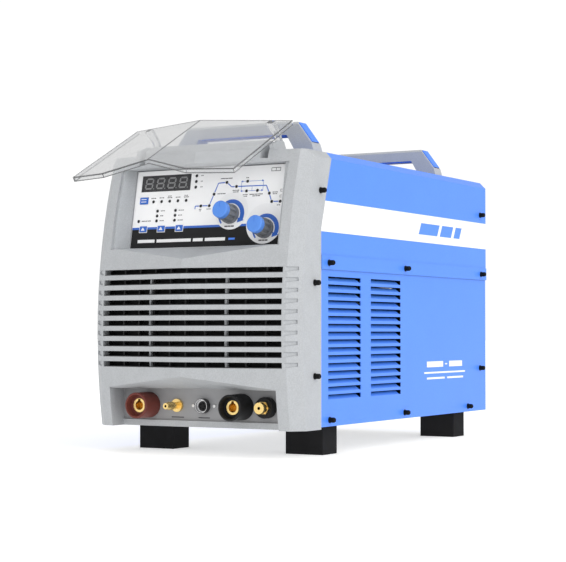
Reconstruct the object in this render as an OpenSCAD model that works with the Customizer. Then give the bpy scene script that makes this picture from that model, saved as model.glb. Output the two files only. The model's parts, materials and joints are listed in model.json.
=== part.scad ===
// TIG welding inverter: sheet-steel casing, moulded front bezel with a clear flip-up cover, carry handles.
// Millimetres. +X is the machine's right-hand side seen from the front, +Y runs back, +Z up.
// Every module is drawn with Y = 0 on the upright edges of the front face; in_frame() then moves it so that
// the origin is the centre of the footprint, on the floor.

/* [Casing] */
// Width over the side panels
body_w = 340; // [330:1:350]
// Front face edge to the back of the rear panel
body_d = 662; // [640:1:690]
// Height of the top surface
body_h = 425.5; // [424:0.5:428]
// Ground clearance under the side panels
clearance = 41; // [39:1:43]
// Sheet thickness of the steel panels
sheet = 1.5; // [1.2:0.1:2]
// Height of the seam between top cover and side panels
seam_z = 260; // [258:1:262]
// Length of one louvre
louvre_l = 101; // [90:1:105]
// Rows of louvres in each column
louvre_rows = 16; // [8:1:16]
// Distance from one louvre row to the next
louvre_pitch = 11; // [11:0.5:11.5]

/* [Front bezel] */
// Half width of the front face between its corner chamfers
face_x = 153.5; // [150:0.5:156]
// How far the centre ridge stands ahead of the face edges
crown = 26.8; // [20:0.2:30]
// Radius of the upright bulge of the face
face_r = 750; // [700:10:900]
// Moulding thickness
wall = 3.5; // [3:0.5:4]
// Number of air slots
slots = 10; // [6:1:10]
// Distance from one air slot to the next
slot_pitch = 14.5; // [14:0.1:15]
// Height of one air slot
slot_h = 7.8; // [6:0.2:8.4]

/* [Control panel] */
// Lean of the panel from upright
lean = 10.75; // [8:0.25:13]
// Body diameter of a knob
knob_d = 28; // [24:1:30]
// How far a knob stands off the panel
knob_h = 32; // [28:1:34]

/* [Connectors] */
// Outer diameter of an output socket
socket_d = 37; // [35:1:38]
// Bore of an output socket
socket_bore = 13; // [12:0.5:13.5]
// How far the output sockets stand off their plate
socket_l = 36; // [32:1:38]

/* [Handles and feet] */
// Half length of a handle's top bar
handle_x = 92.6; // [88:0.2:96]
// Height of the handles' top above the floor
handle_z = 477.5; // [470:0.5:480]
// Depth of a handle's bar, front to back
handle_d = 28; // [24:1:30]
// Width of a foot
foot_w = 60; // [50:1:64]
// Length of a foot, front to back
foot_l = 42.5; // [38:0.5:46]

/* [Clear cover] */
// Angle of the open cover below level
cover_tilt = 27.1; // [26:0.1:28]
// Thickness of the clear sheet
cover_t = 2.4; // [1.6:0.1:3]
// Depth of the turned-down rim
rim = 7; // [5:0.5:7]

/* [Fan] */
// Swept diameter of the fan
fan_d = 150; // [120:2:156]
// Number of fan blades
blades = 7; // [5:1:9]

/* [Hidden] */
$fn = 48;

// shared
eps = 0.01;
big = 1000;
gap = 0.3;
origin_y = 290;            // from the front face edges back to the middle of the footprint
half_w = body_w / 2;
top_bevel = 10;            // 45 degree bevel along the top edges of the casing

// casing front edge, side view: upright, then leaning back above the shoulder
shoulder_y = 71.8;
shoulder_z = 317;
lean_y = 105.4;

// front face
face_z = 175;              // height of the bulge's foremost point
face_low = 38;
face_high = 430;
face_steps = 12;           // flats that make up the bulge
face_angle = atan(crown / face_x);
bevel_angle = 45;

// air slots
slot_top = 261.5;
slot_x = 147.6;
slot_depth = 14;
rib_x = 62.6;
rib_w = 3;
rib_inset = 9;
groove_len = 24;
groove_h = 4.9;
groove_deep = 2;

// recess round the control panel
recess_x = 125.5;
recess_slant = 0.5;         // how fast the pocket's side walls spread towards the face
rebate_x = 139.5;
rebate_deep = 3;
recess_top = 408;
sill_front_z = 271.7;
sill_rise = 0.382;
sill_tilt = 0.0578;
label_y = 32.2;
label_z = 292.3;
label_x = 123.4;
label_s = 117;

// brow above the recess
brow_top_x = 110.7;
brow_foot_x = 115.5;
brow_front_y = 17.4;
brow_top_y = 56;
brow_top_z = 440.5;
brow_back_y = 72;
trough_back_y = 97;

// connector bay
bay_x = 137.4;
bay_y = 40;
bay_top = 92.5;
bay_apex_z = 111.8;
bay_slope = 0.289;
bay_tilt = 0.067;
bay_sill_z = 46.7;
bay_sill_y = 36;
plate_t = 2;
conn_z = 68;
pos_x = -94;
pilot_x = -45.5;
ctl_x = -1;
neg_x = 62;
gas_x = 103;
neck_r = 14;
insert_r = 10;
insert_l = 26.5;           // brass face off the plate
dish_r = 15.6;
pilot_l = 32;
pilot_hole_r = 5;
control_hole_r = 8;
control_screw_x = 17.5;
gas_hole_r = 7;
gas_base_t = 12;
gas_l = 25;

// cover hinge and sheet, measured from the pivot along the sheet (s) and square to it (n)
pivot_y = 86;
pivot_z = 414;
pin_r = 2;
arm_x0 = 97.5;
arm_x1 = 106.5;
notch_x0 = 96.2;
notch_x1 = 107.8;
lug_x0 = 90;
lug_x1 = 114;
fold = atan(0.15);
ridge_n = 79.2;
ridge_s0 = 25.7;
ridge_s1 = 173.4;
edge_x = 131;
edge_s0 = -1.8;
edge_s1 = 174.9;
bend_x = 67.7;
bend_s = 191.3;

// casing details
band_z = 280;
band_out = 1.2;
louvre_top = 250.3;
louvre_h = 6.5;
louvre_in = 6.5;
louvre_gap = 1.4;
louvre_end = 5;
louvre_y = [94, 227];
screw_collar_r = 4.4;
screw_head_r = 3.7;
screw_tip_r = 2.8;
screw_collar_h = 1;
screw_barrel_h = 7.2;
screw_head_h = 8.8;
screw_r = 2;
screw_hole_r = 2.15;
screw_l = 9;
bezel_screw_at = [[69.5, 369], [52.5, 240.5], [52.5, 112]];
seam_screw_at = [[92.5, 269.3], [341, 269.3], [638, 269.3]];
upper_rear_screw_at = [[637.5, 369]];
lower_rear_screw_at = [[637.5, 112]];
base_screw_at = [[98, 50], [342, 50], [585.5, 50]];
tongue_y0 = 40;
side_lip = 14;

// panel controls, as x and height up the panel
adjust_at = [42.3, 46.7];
current_at = [100.6, 24];
set_at = [-107.6, 71.9];
set_w = 14;
set_h = 10;
menu_at = [[-104, 29.4], [-73, 29.4], [-42, 29.4]];
menu_w = 11.6;
menu_h = 8.4;
button_out = 1.2;
key_shoulder = 1.25;
key_stem = 4;
board_h = -14;             // face of the circuit board, behind the panel
key_switch_h = 4;
key_free = 1.1;
display_at = [-72.5, 97.3];
display_w = 84.5;
display_h = 24.4;
film = 0.6;
led_r = 2.1;
led_h = 1.2;
led_at = concat(
  [for (i = [0 : 2]) [-21.2, 89 + 8.4 * i]],
  [for (i = [0 : 4]) [-91.4 + 14.05 * i, 70]],
  [for (x = [-82.5, -51.6], i = [0 : 2]) [x, 41.3 + 7.3 * i]],
  [[-113.6, 41.5], [-9.3, 60.7], [5, 60.6], [11.1, 77.2], [30.7, 93.7], [47.2, 87], [64.8, 93.9]],
  [[64.4, 79.8], [82.2, 79.8], [102, 74.9], [107.1, 62.8], [120.6, 62.5]]
);
shaft_r = 3;
shaft_fit = 0.05;
cap_r = 12.2;
cap_h = 9;

// rear
fan_x = 0;
fan_z = 172;
fan_box = 172;
fan_t = 51;
hub_r = 30;
blade_chord = 44;
blade_pitch = 38;
switch_x = 92;
switch_z = 352;
switch_w = 54;
switch_h = 84;
switch_deep = 70;
gland_x = -98;
gland_z = 352;
gland_bore = 9;
inlet_x = -118;
inlet_z = 96;
earth_x = 118;
earth_z = 96;
inlet_out = 36;
fan_y1 = body_d - 2 * sheet;
fan_screw = fan_box * 0.43;
fan_screw_r = 2.3;

// handles and feet
handle_under = 18.6;
leg_x = 117;
leg_z = 445;
leg_foot_x = 122.5;
grip_out = 1.6;
inner_x = 75.5;
inner_foot_x = 95;
grip_t = 2;
front_handle_y = 141;
rear_handle_y = 567;
foot_centre_x = 125;
front_foot_y = 104;
rear_foot_y = 559;

// inside
floor_z = clearance + sheet;
sink_y0 = 190;
sink_l = 300;

function face_y(z) = face_r - sqrt(pow(face_r, 2) - pow(z - face_z, 2));

// ---------- placing helpers ----------
module in_frame() {
  translate([0, -origin_y, 0]) children();
}

module both_sides() {
  children();
  mirror([1, 0, 0]) children();
}

// child z points out of the control panel, child y up it
module on_panel(at, h = 0) {
  translate([0, label_y, label_z])
    rotate([90 - lean, 0, 0])
      translate([at[0], at[1], h])
        children();
}

// child z points forward out of the connector plate or backward out of the rear panel
module facing_front(x, y, z) {
  translate([x, y, z]) rotate([90, 0, 0]) children();
}

module facing_back(x, y, z) {
  translate([x, y, z]) rotate([-90, 0, 0]) children();
}

// a side-view outline [[y, z], ...] drawn between two x positions
module side_profile(x0, x1, points) {
  translate([x0, 0, 0])
    rotate([90, 0, 90])
      linear_extrude(height = x1 - x0)
        polygon(points);
}

// a front-view outline [[x, z], ...] drawn between two y positions
module front_profile(y0, y1, points) {
  translate([0, y1, 0])
    rotate([90, 0, 0])
      linear_extrude(height = y1 - y0)
        polygon(points);
}

module box(x0, x1, y0, y1, z0, z1) {
  translate([x0, y0, z0]) cube([x1 - x0, y1 - y0, z1 - z0]);
}

// everything ahead of the casing's front edge, moved back by d
module ahead_of_casing(d = 0) {
  side_profile(-big, big, [
    [-big, -big], [shoulder_y + d, -big], [shoulder_y + d, shoulder_z],
    [lean_y + d, body_h], [lean_y + d, big], [-big, big]
  ]);
}

module behind_casing_edge(d = 0) {
  side_profile(-big, big, [
    [big, -big], [shoulder_y + d, -big], [shoulder_y + d, shoulder_z],
    [lean_y + d, body_h], [lean_y + d, body_h + big], [big, body_h + big]
  ]);
}

// front-view outline of the casing with its beveled top edges, shrunk by d
module casing_section(d, z0, y0, y1) {
  w = half_w - d;
  h = body_h - d;
  b = top_bevel - 0.4 * d;
  front_profile(y0, y1, [[-w, z0], [w, z0], [w, h - b], [w - b, h], [b - w, h], [-w, h - b]]);
}

// ---------- front bezel ----------
// solid behind one stretch of the bulged face, its side view swept along a line at angle to the x axis
module swept_face(angle, inset) {
  shrink = cos(angle);
  z_step = (face_high - face_low) / face_steps;
  translate([face_x, 0, 0])
    rotate([0, 0, angle])
      side_profile(-big, big, concat(
        [for (i = [0 : face_steps]) [shrink * face_y(face_low + i * z_step) + inset, face_low + i * z_step]],
        [[big, face_high], [big, face_low]]
      ));
}

module face_solid(inset) {
  intersection() {
    swept_face(face_angle, inset);
    mirror([1, 0, 0]) swept_face(face_angle, inset);
    swept_face(bevel_angle, inset);
    mirror([1, 0, 0]) swept_face(bevel_angle, inset);
  }
}

module bezel_outer() {
  intersection() {
    face_solid(0);
    casing_section(0, face_low, -100, 130);
    ahead_of_casing();
  }
}

// cut that opens the control recess: deep pocket, shallow rebate and V-shaped sill
module sill_wedge() {
  intersection() {
    translate([0, -crown, sill_front_z])
      rotate([atan(sill_rise), 0, 0])
        rotate([0, -atan(sill_tilt), 0])
          translate([-eps, -big, 0])
            cube([recess_x + 200, 2 * big, 2 * big]);
    box(0, rebate_x, -100, 120, 0, recess_top);
  }
}

// the pocket's opening across the panel, its side walls spreading towards the face
module pocket_prism() {
  upright = 1;
  reach = 60;
  spread = recess_x + recess_slant * (reach - upright);
  on_panel([0, big]) rotate([90, 0, 0]) linear_extrude(height = 2 * big)
    polygon([
      [-recess_x, -reach], [-recess_x, upright], [-spread, reach],
      [spread, reach], [recess_x, upright], [recess_x, -reach]
    ]);
}

module recess_cut() {
  intersection() {
    box(-rebate_x, rebate_x, -100, 130, label_z, recess_top);
    pocket_prism();
  }
  difference() {
    box(-rebate_x, rebate_x, -100, 120, label_z - 1, recess_top);
    face_solid(rebate_deep);
  }
  both_sides() intersection() {
    sill_wedge();
    box(0, rebate_x, -100, label_y + 10, 0, recess_top);
    union() {
      pocket_prism();
      difference() {
        box(0, rebate_x, -100, 120, 0, recess_top);
        face_solid(rebate_deep);
      }
    }
  }
}

// cut that opens the connector bay, its ceiling rising to a V at the face
module bay_cut() {
  box(-bay_x, bay_x, -100, bay_sill_y, 0, bay_sill_z);
  box(-bay_x, bay_x, -100, bay_y + eps, bay_sill_z - eps, bay_top);
  both_sides() intersection() {
    translate([0, -crown, bay_apex_z])
      rotate([-atan(bay_slope), 0, 0])
        rotate([0, atan(bay_tilt), 0])
          translate([-eps, -big, -2 * big])
            cube([bay_x + 200, 2 * big, 2 * big]);
    box(0, bay_x, -100, bay_y + eps, bay_sill_z, bay_apex_z);
  }
}

module slot_cut() {
  difference() {
    for (i = [0 : slots - 1])
      box(-slot_x, slot_x, -60, 60, slot_top - i * slot_pitch - slot_h, slot_top - i * slot_pitch);
    intersection() {
      face_solid(rib_inset);
      both_sides() box(rib_x - rib_w / 2, rib_x + rib_w / 2, -60, 60, 0, slot_top - slot_pitch + 1);
    }
  }
}

// shallow tapered grooves that carry the slots round the corner bevels
module groove_cut() {
  both_sides()
    for (i = [0 : slots - 1]) {
      z = slot_top - i * slot_pitch;
      translate([face_x, face_y(z - slot_h / 2), z])
        rotate([0, 0, bevel_angle])
          translate([-7, groove_deep, 0])
            rotate([90, 0, 0])
              linear_extrude(height = 20)
                polygon([[0, -slot_h], [groove_len, -groove_h], [groove_len, 0], [0, 0]]);
    }
}

module brow() {
  intersection() {
    linear_extrude(height = brow_top_z)
      polygon([
        [-brow_foot_x, brow_back_y], [-brow_foot_x, brow_front_y + 20.2], [0, brow_front_y],
        [brow_foot_x, brow_front_y + 20.2], [brow_foot_x, brow_back_y]
      ]);
    front_profile(0, brow_back_y, [
      [-brow_foot_x, recess_top], [brow_foot_x, recess_top], [brow_foot_x, body_h],
      [brow_top_x, brow_top_z], [-brow_top_x, brow_top_z], [-brow_foot_x, body_h]
    ]);
    side_profile(-brow_foot_x, brow_foot_x, [
      [brow_front_y - 1, recess_top], [brow_front_y - 1, body_h - 1], [brow_top_y, brow_top_z],
      [brow_back_y, brow_top_z], [brow_back_y, recess_top]
    ]);
  }
}

// room for a hinge arm from the open to the closed position
module arm_notch() {
  side_profile(notch_x0, notch_x1, [
    [94, 450], [94, 406], [80, 406], [0, 418.5], [0, 450]
  ]);
}

module front_bezel() {
  color("lightgray") difference() {
    union() {
      difference() {
        bezel_outer();
        difference() {
          intersection() {
            face_solid(wall);
            casing_section(wall, face_low - 10, -100, 140);
          }
          // blocks left solid round the recess, the slots, the bay and the hinges
          intersection() {
            box(-rebate_x - wall, rebate_x + wall, -100, 120, sill_front_z - wall, big);
            side_profile(-big, big, [
              [-100, 200], [label_y - 20, label_z - 105], [label_y, label_z],
              [label_y + 2 * (recess_top - label_z) * tan(lean), label_z + 2 * (recess_top - label_z)],
              [-100, big]
            ]);
          }
          difference() {
            box(-slot_x - wall, slot_x + wall, -100, 120, bay_apex_z + wall, slot_top + wall);
            face_solid(slot_depth);
          }
          box(-bay_x - wall, bay_x + wall, -100, bay_y, 0, bay_apex_z + wall);
          both_sides() box(lug_x0, lug_x1, 30, trough_back_y, pivot_z - 14, big);
        }
      }
      brow();
    }
    recess_cut();
    bay_cut();
    slot_cut();
    groove_cut();
    // trough behind the brow, between the hinge lugs
    box(-lug_x0, lug_x0, brow_back_y, trough_back_y - wall, body_h - 6, big);
    both_sides() arm_notch();
    both_sides() translate([lug_x0 + 2, pivot_y, pivot_z])
      rotate([0, 90, 0]) cylinder(r = pin_r + shaft_fit, h = lug_x1 - lug_x0 - 4);
    both_sides() for (p = bezel_screw_at)
      translate([half_w - 12, p[0], p[1]]) rotate([0, 90, 0]) cylinder(r = screw_hole_r, h = 20);
  }
}

// dark insert behind the air slots: a ledge on the floor of every slot and uprights between them
module vent_grille() {
  ledge_t = 1;
  ledge_inset = 1.4;
  ledge_x = slot_x - gap;
  upright_w = 2.6;
  bays = 10;
  depth = 7;
  grille_x = slot_x + 1;
  bar_z = 1;
  bar_h = 4;
  z0 = slot_top - slots * slot_pitch + bar_z;
  z1 = slot_top + bar_z + bar_h;
  color("dimgray") {
    intersection() {
      difference() {
        face_solid(slot_depth + gap);
        face_solid(slot_depth + gap + depth);
      }
      union() {
        for (i = [0 : slots])
          box(-grille_x, grille_x, -60, 60, z1 - i * slot_pitch - bar_h, z1 - i * slot_pitch);
        for (i = [0 : bays])
          translate([-grille_x + i * (2 * grille_x - upright_w) / bays, -60, z0])
            cube([upright_w, 120, z1 - z0]);
      }
    }
    difference() {
      intersection() {
        difference() {
          face_solid(ledge_inset);
          face_solid(slot_depth + 2 * gap);
        }
        for (i = [0 : slots - 1]) {
          floor_of_slot = slot_top - i * slot_pitch - slot_h + 0.1;
          box(-ledge_x, ledge_x, -60, 60, floor_of_slot, floor_of_slot + ledge_t);
        }
      }
      intersection() {
        face_solid(rib_inset - gap);
        both_sides() box(rib_x - rib_w, rib_x + rib_w, -60, 60, 0, slot_top);
      }
    }
  }
}

// ---------- connector bay ----------
module plate_hole(x, r) {
  facing_front(x, bay_y + plate_t + 1, conn_z) cylinder(r = r, h = plate_t + 2);
}

module connector_plate() {
  color("gray") difference() {
    box(-bay_x - wall, bay_x + wall, bay_y, bay_y + plate_t, bay_sill_z - 4, bay_top + 6);
    for (x = [pos_x, neg_x]) plate_hole(x, neck_r + gap);
    plate_hole(pilot_x, pilot_hole_r + gap);
    plate_hole(ctl_x, control_hole_r + gap);
    for (s = [-1, 1]) plate_hole(ctl_x + s * control_screw_x, screw_r - 0.4);
    plate_hole(gas_x, gas_hole_r + gap);
  }
}

// insulating shell of an output socket: dished front, neck through the plate and clamping ring behind it
module socket_shell(x) {
  r = socket_d / 2;
  edge = 1.2;
  floor_l = insert_l - 0.8;
  difference() {
    union() {
      facing_front(x, bay_y, conn_z) cylinder(r = r, h = socket_l - edge);
      facing_front(x, bay_y - socket_l + edge, conn_z) cylinder(r1 = r, r2 = r - edge, h = edge);
      facing_front(x, bay_y + 14, conn_z) cylinder(r = neck_r, h = 15);
      facing_front(x, bay_y + plate_t + 10, conn_z) cylinder(r = r + 1, h = 10, $fn = 6);
    }
    facing_front(x, bay_y - floor_l, conn_z)
      cylinder(r1 = dish_r - 1.5, r2 = dish_r, h = socket_l - floor_l + eps);
    facing_front(x, bay_y + 15, conn_z) cylinder(r = insert_r + shaft_fit, h = 60);
  }
}

// brass body with its twist-lock bore and a threaded tail
module socket_insert(x) {
  tail = 16;
  keyway_w = 4;
  difference() {
    union() {
      difference() {
        facing_front(x, bay_y + tail, conn_z) cylinder(r = insert_r, h = insert_l + tail);
        box(x + insert_r - 1, x + insert_r + 2, -20, bay_y - insert_l + 1.5, conn_z - 12, conn_z + 12);
      }
      facing_front(x, bay_y + 38, conn_z) cylinder(r = 5, h = 24);
      facing_front(x, bay_y + 26, conn_z) cylinder(r = 9.2, h = 7, $fn = 6);
    }
    facing_front(x, bay_y + 4, conn_z) cylinder(r = socket_bore / 2, h = 60);
    box(x - keyway_w / 2, x + keyway_w / 2, -20, bay_y + 2, conn_z, conn_z + 9);
  }
}

module positive_socket_shell() {
  color("brown") socket_shell(pos_x);
}

module positive_socket_insert() {
  color("gold") socket_insert(pos_x);
}

module negative_socket_shell() {
  color("black") socket_shell(neg_x);
}

module negative_socket_insert() {
  color("gold") socket_insert(neg_x);
}

// barbed gas nipple, turned about its own axis
module nipple(l, r_stem, r_barb, r_flange, flange_t, bore, tail) {
  rotate_extrude() polygon([
    [bore, -tail], [r_stem + 0.4, -tail], [r_stem + 0.4, 0], [r_flange, 0], [r_flange, flange_t],
    [r_stem, flange_t], [r_stem, l - 15], [r_barb, l - 15], [r_stem, l - 9],
    [r_barb, l - 9], [r_stem - 0.6, l], [bore, l]
  ]);
}

module pilot_arc_fitting() {
  color("gold") {
    facing_front(pilot_x, bay_y, conn_z)
      nipple(pilot_l, 4.9, 6, 9.3, 4, 1.8, 12);
  }
}

module control_socket_shell() {
  color("silver") difference() {
    union() {
      facing_front(ctl_x, bay_y, conn_z) cylinder(r = 10.5, h = 9);
      facing_front(ctl_x, bay_y + 12, conn_z) cylinder(r = control_hole_r, h = 13);
    }
    facing_front(ctl_x, bay_y + 13, conn_z) cylinder(r = 7, h = 30);
    facing_front(ctl_x, bay_y - 4, conn_z) cylinder(r = 9, h = 30);
  }
}

module control_socket_core() {
  color("black") {
    facing_front(ctl_x, bay_y + 10, conn_z) cylinder(r = 7 - shaft_fit, h = 15);
    facing_front(ctl_x, bay_y + 16, conn_z) cylinder(r = 5, h = 6);
    for (a = [0 : 72 : 288])
      facing_front(ctl_x + 4 * cos(a), bay_y - 5, conn_z + 4 * sin(a)) cylinder(r = 0.8, h = 3);
  }
}

module control_socket_screws() {
  color("silver") for (s = [-1, 1]) {
    facing_front(ctl_x + s * control_screw_x, bay_y, conn_z) cylinder(r1 = 2.9, r2 = 2.2, h = 1.8);
    facing_front(ctl_x + s * control_screw_x, bay_y + 8, conn_z) cylinder(r = screw_r - 0.5, h = 8.5);
  }
}

module gas_outlet_base() {
  color("black") difference() {
    union() {
      facing_front(gas_x, bay_y, conn_z) cylinder(r = 14.8, h = gas_base_t - 1);
      facing_front(gas_x, bay_y - gas_base_t + 1, conn_z) cylinder(r1 = 14.8, r2 = 13.8, h = 1);
      facing_front(gas_x, bay_y + 8, conn_z) cylinder(r = gas_hole_r, h = 9);
    }
    facing_front(gas_x, bay_y + 9, conn_z) cylinder(r = 5, h = 30);
  }
}

module gas_outlet_fitting() {
  color("gold") difference() {
    union() {
      facing_front(gas_x, bay_y + 24, conn_z) cylinder(r = 5 - shaft_fit, h = 24 + gas_base_t + 2);
      facing_front(gas_x, bay_y - gas_base_t, conn_z) cylinder(r = 9.5, h = 3, $fn = 6);
      facing_front(gas_x, bay_y - gas_base_t - 3, conn_z) cylinder(r = 7.9, h = gas_l - gas_base_t - 3);
    }
    facing_front(gas_x, bay_y + 25, conn_z) cylinder(r = 2.2, h = 70);
  }
}

// ---------- control panel ----------
module panel_sheet(x, s0, s1, h0, h1) {
  on_panel([-x, s0], h0) cube([2 * x, s1 - s0, h1 - h0]);
}

module control_plate() {
  color("silver") difference() {
    panel_sheet(recess_x + 10, -12, label_s, -plate_t, 0);
    for (at = [adjust_at, current_at])
      on_panel(at, -plate_t - 1) cylinder(r = shaft_r + 1, h = plate_t + 2);
    on_panel(set_at, -plate_t - 1) translate([-set_w / 2 - gap, -set_h / 2 - gap, 0])
      cube([set_w + 2 * gap, set_h + 2 * gap, plate_t + 2]);
    for (at = menu_at)
      on_panel(at, -plate_t - 1) translate([-menu_w / 2 - gap, -menu_h / 2 - gap, 0])
        cube([menu_w + 2 * gap, menu_h + 2 * gap, plate_t + 2]);
    on_panel(display_at, -plate_t - 1) translate([-display_w / 2, -display_h / 2, 0])
      cube([display_w, display_h, plate_t + 2]);
    for (at = led_at)
      on_panel(at, -plate_t - 1) cylinder(r = led_r + gap, h = plate_t + 2);
  }
}

module panel_label() {
  color("white") difference() {
    panel_sheet(label_x, 0.5, label_s - 1, 0, film);
    for (at = [adjust_at, current_at])
      on_panel(at, -1) cylinder(r = shaft_r + 1, h = 3);
    on_panel(set_at, -1) translate([-set_w / 2 - gap, -set_h / 2 - gap, 0])
      cube([set_w + 2 * gap, set_h + 2 * gap, 3]);
    for (at = menu_at)
      on_panel(at, -1) translate([-menu_w / 2 - gap, -menu_h / 2 - gap, 0])
        cube([menu_w + 2 * gap, menu_h + 2 * gap, 3]);
    on_panel(display_at, -1) translate([-display_w / 2, -display_h / 2, 0])
      cube([display_w, display_h, 3]);
    for (at = led_at)
      on_panel(at, -1) cylinder(r = led_r + gap, h = 3);
  }
}

module display_window() {
  color("black") {
    on_panel(display_at, -plate_t) translate([-display_w / 2 + gap, -display_h / 2 + gap, 0])
      cube([display_w - 2 * gap, display_h - 2 * gap, plate_t + film]);
  }
}

// circuit board on pillars, carrying the digit block and the button switches
module control_board() {
  color("darkgreen") difference() {
    union() {
      panel_sheet(recess_x - 4, 4, label_s - 6, board_h - 1.6, board_h);
      on_panel(display_at, board_h) translate([-display_w / 2 + 4, -display_h / 2 + 2, 0])
        cube([display_w - 8, display_h - 4, -board_h - plate_t - gap]);
      for (x = [-recess_x + 7, recess_x - 7], s = [8, label_s - 10])
        on_panel([x, s], board_h) cylinder(r = 3, h = -board_h - plate_t);
      for (at = concat([set_at], menu_at))
        on_panel(at, board_h) translate([-3, -3, 0]) cube([6, 6, key_switch_h]);
    }
    for (at = [adjust_at, current_at])
      on_panel(at, board_h - 3) cylinder(r = 9, h = 8);
  }
}

module status_leds() {
  color("dimgray") for (at = led_at) {
    on_panel(at, -plate_t) cylinder(r = led_r, h = plate_t + film + 0.2);
    on_panel(at, film + 0.2) cylinder(r1 = led_r, r2 = led_r * 0.6, h = led_h - 0.4);
  }
}

module potentiometers() {
  color("gray") for (at = [adjust_at, current_at]) difference() {
    union() {
      on_panel(at, -17) cylinder(r = 8.5, h = 17 - plate_t - 0.5);
      on_panel(at, -plate_t - 0.5) cylinder(r = 8, h = 0.5);
    }
    on_panel(at, -12) cylinder(r = shaft_r + shaft_fit, h = 20);
  }
}

// fluted skirt, shaft down into the potentiometer and a socket for the coloured cap
module knob_body(at) {
  flutes = 10;
  body_h1 = knob_h - cap_h;
  difference() {
    union() {
      on_panel(at, film + 0.5) cylinder(r = knob_d / 2, h = 5);
      on_panel(at, film + 5.5) cylinder(r1 = knob_d / 2 - 1, r2 = cap_r + 0.6, h = body_h1 - 6.1);
      on_panel(at, -11.5) cylinder(r = shaft_r, h = 13);
    }
    for (i = [0 : flutes - 1])
      on_panel(at, film + 6.5) rotate([0, 0, i * 360 / flutes])
        translate([knob_d / 2 - 0.5, 0, 0]) cylinder(r = 2.4, h = body_h1);
    on_panel(at, film + 12) cylinder(r = 7, h = body_h1);
  }
}

module knob_cap(at) {
  body_h1 = knob_h - cap_h;
  difference() {
    union() {
      on_panel(at, body_h1) cylinder(r = cap_r, h = cap_h - 1.5);
      on_panel(at, knob_h - 1.5) cylinder(r1 = cap_r, r2 = cap_r - 1.5, h = 1.5);
      on_panel(at, film + 12.2) cylinder(r = 6.9, h = body_h1 - film - 12);
    }
    on_panel(at, knob_h - 0.8) translate([-0.7, 3, 0]) cube([1.4, 8, 3]);
  }
}

module adjust_knob() {
  color("gray") knob_body(adjust_at);
}

module adjust_knob_cap() {
  color("royalblue") knob_cap(adjust_at);
}

module current_knob() {
  color("gray") knob_body(current_at);
}

module current_knob_cap() {
  color("royalblue") knob_cap(current_at);
}

// key cap held by a shoulder behind the plate, with a stem down to its switch
module key(at, w, h) {
  back = -plate_t - shaft_fit - key_shoulder;
  stem_end = board_h + key_switch_h + key_free;
  on_panel(at, back) translate([-w / 2, -h / 2, 0]) cube([w, h, film + button_out - back]);
  on_panel(at, back) translate([-w / 2 - 1, -h / 2 - 1, 0]) cube([w + 2, h + 2, key_shoulder]);
  on_panel(at, stem_end) translate([-key_stem / 2, -key_stem / 2, 0])
    cube([key_stem, key_stem, back - stem_end + eps]);
}

module set_button() {
  color("royalblue") key(set_at, set_w, set_h);
}

module left_button() {
  color("royalblue") key(menu_at[0], menu_w, menu_h);
}

module middle_button() {
  color("royalblue") key(menu_at[1], menu_w, menu_h);
}

module right_button() {
  color("royalblue") key(menu_at[2], menu_w, menu_h);
}

// ---------- clear cover ----------
// places a child drawn as [x, s, n] about the hinge pivot
module cover_frame() {
  translate([0, pivot_y, pivot_z])
    rotate([cover_tilt, 0, 0])
      mirror([0, 1, 0])
        children();
}

// one half of the folded sheet with its rim, drawn flat and then tipped about the centre ridge
module cover_half() {
  k = 1 / cos(fold);
  outline = [
    [-4, ridge_s0 + 1], [0, ridge_s0], [edge_x * k, edge_s0], [edge_x * k, edge_s1],
    [bend_x * k, bend_s], [0, ridge_s1], [-4, ridge_s1 + 1]
  ];
  inner = [
    [-6, ridge_s0 - 9], [0, ridge_s0 - 10], [edge_x * k - cover_t, edge_s0 - 10],
    [edge_x * k - cover_t, edge_s1 - cover_t], [bend_x * k, bend_s - cover_t],
    [0, ridge_s1 - cover_t], [-6, ridge_s1 - cover_t + 1]
  ];
  intersection() {
    translate([0, 0, ridge_n]) rotate([0, fold, 0]) union() {
      translate([0, 0, -cover_t]) linear_extrude(height = cover_t) polygon(outline);
      translate([0, 0, -rim]) linear_extrude(height = rim - eps) difference() {
        polygon(outline);
        polygon(inner);
      }
    }
    translate([0, -50, -big]) cube([big, big, 2 * big]);
  }
}

module clear_cover() {
  arm_n = ridge_n - (arm_x0 + arm_x1) / 2 * tan(fold);
  color("white", 0.4) cover_frame() {
    both_sides() {
      cover_half();
      difference() {
        union() {
          translate([arm_x0, 0, 0]) rotate([90, 0, 90]) linear_extrude(height = arm_x1 - arm_x0)
            polygon([[-4.5, 0], [-3.5, 40], [4.5, arm_n - 1.2], [16, arm_n - 1.2], [3.5, 40], [4.5, 0]]);
          translate([arm_x0, 0, 0]) rotate([0, 90, 0]) cylinder(r = 5.5, h = arm_x1 - arm_x0);
        }
        translate([arm_x0 - 1, 0, 0]) rotate([0, 90, 0]) cylinder(r = pin_r + shaft_fit, h = 12);
      }
    }
  }
}

module cover_hinge_pins() {
  color("silver") both_sides() translate([lug_x0 + 2.5, pivot_y, pivot_z])
    rotate([0, 90, 0]) cylinder(r = pin_r, h = lug_x1 - lug_x0 - 5);
}

// ---------- casing ----------
module side_holes(list, r) {
  both_sides() for (p = list)
    translate([half_w - 30, p[0], p[1]]) rotate([0, 90, 0]) cylinder(r = r, h = 40);
}

module base_tray() {
  y0 = shoulder_y + 4;
  y1 = body_d - 2 * sheet - gap;
  x = half_w - 2 * sheet - 2 * gap;
  color("gray") difference() {
    union() {
      box(-x, x, y0, y1, clearance, clearance + sheet);
      both_sides() box(x - sheet, x, y0, y1, clearance, clearance + 26);
      box(-x, x, y0, y0 + sheet, clearance, clearance + 14);
      box(-bay_x, bay_x, bay_y + plate_t + 2, y0 + sheet, clearance, clearance + sheet);
    }
    side_holes(base_screw_at, screw_hole_r);
  }
}

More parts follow.
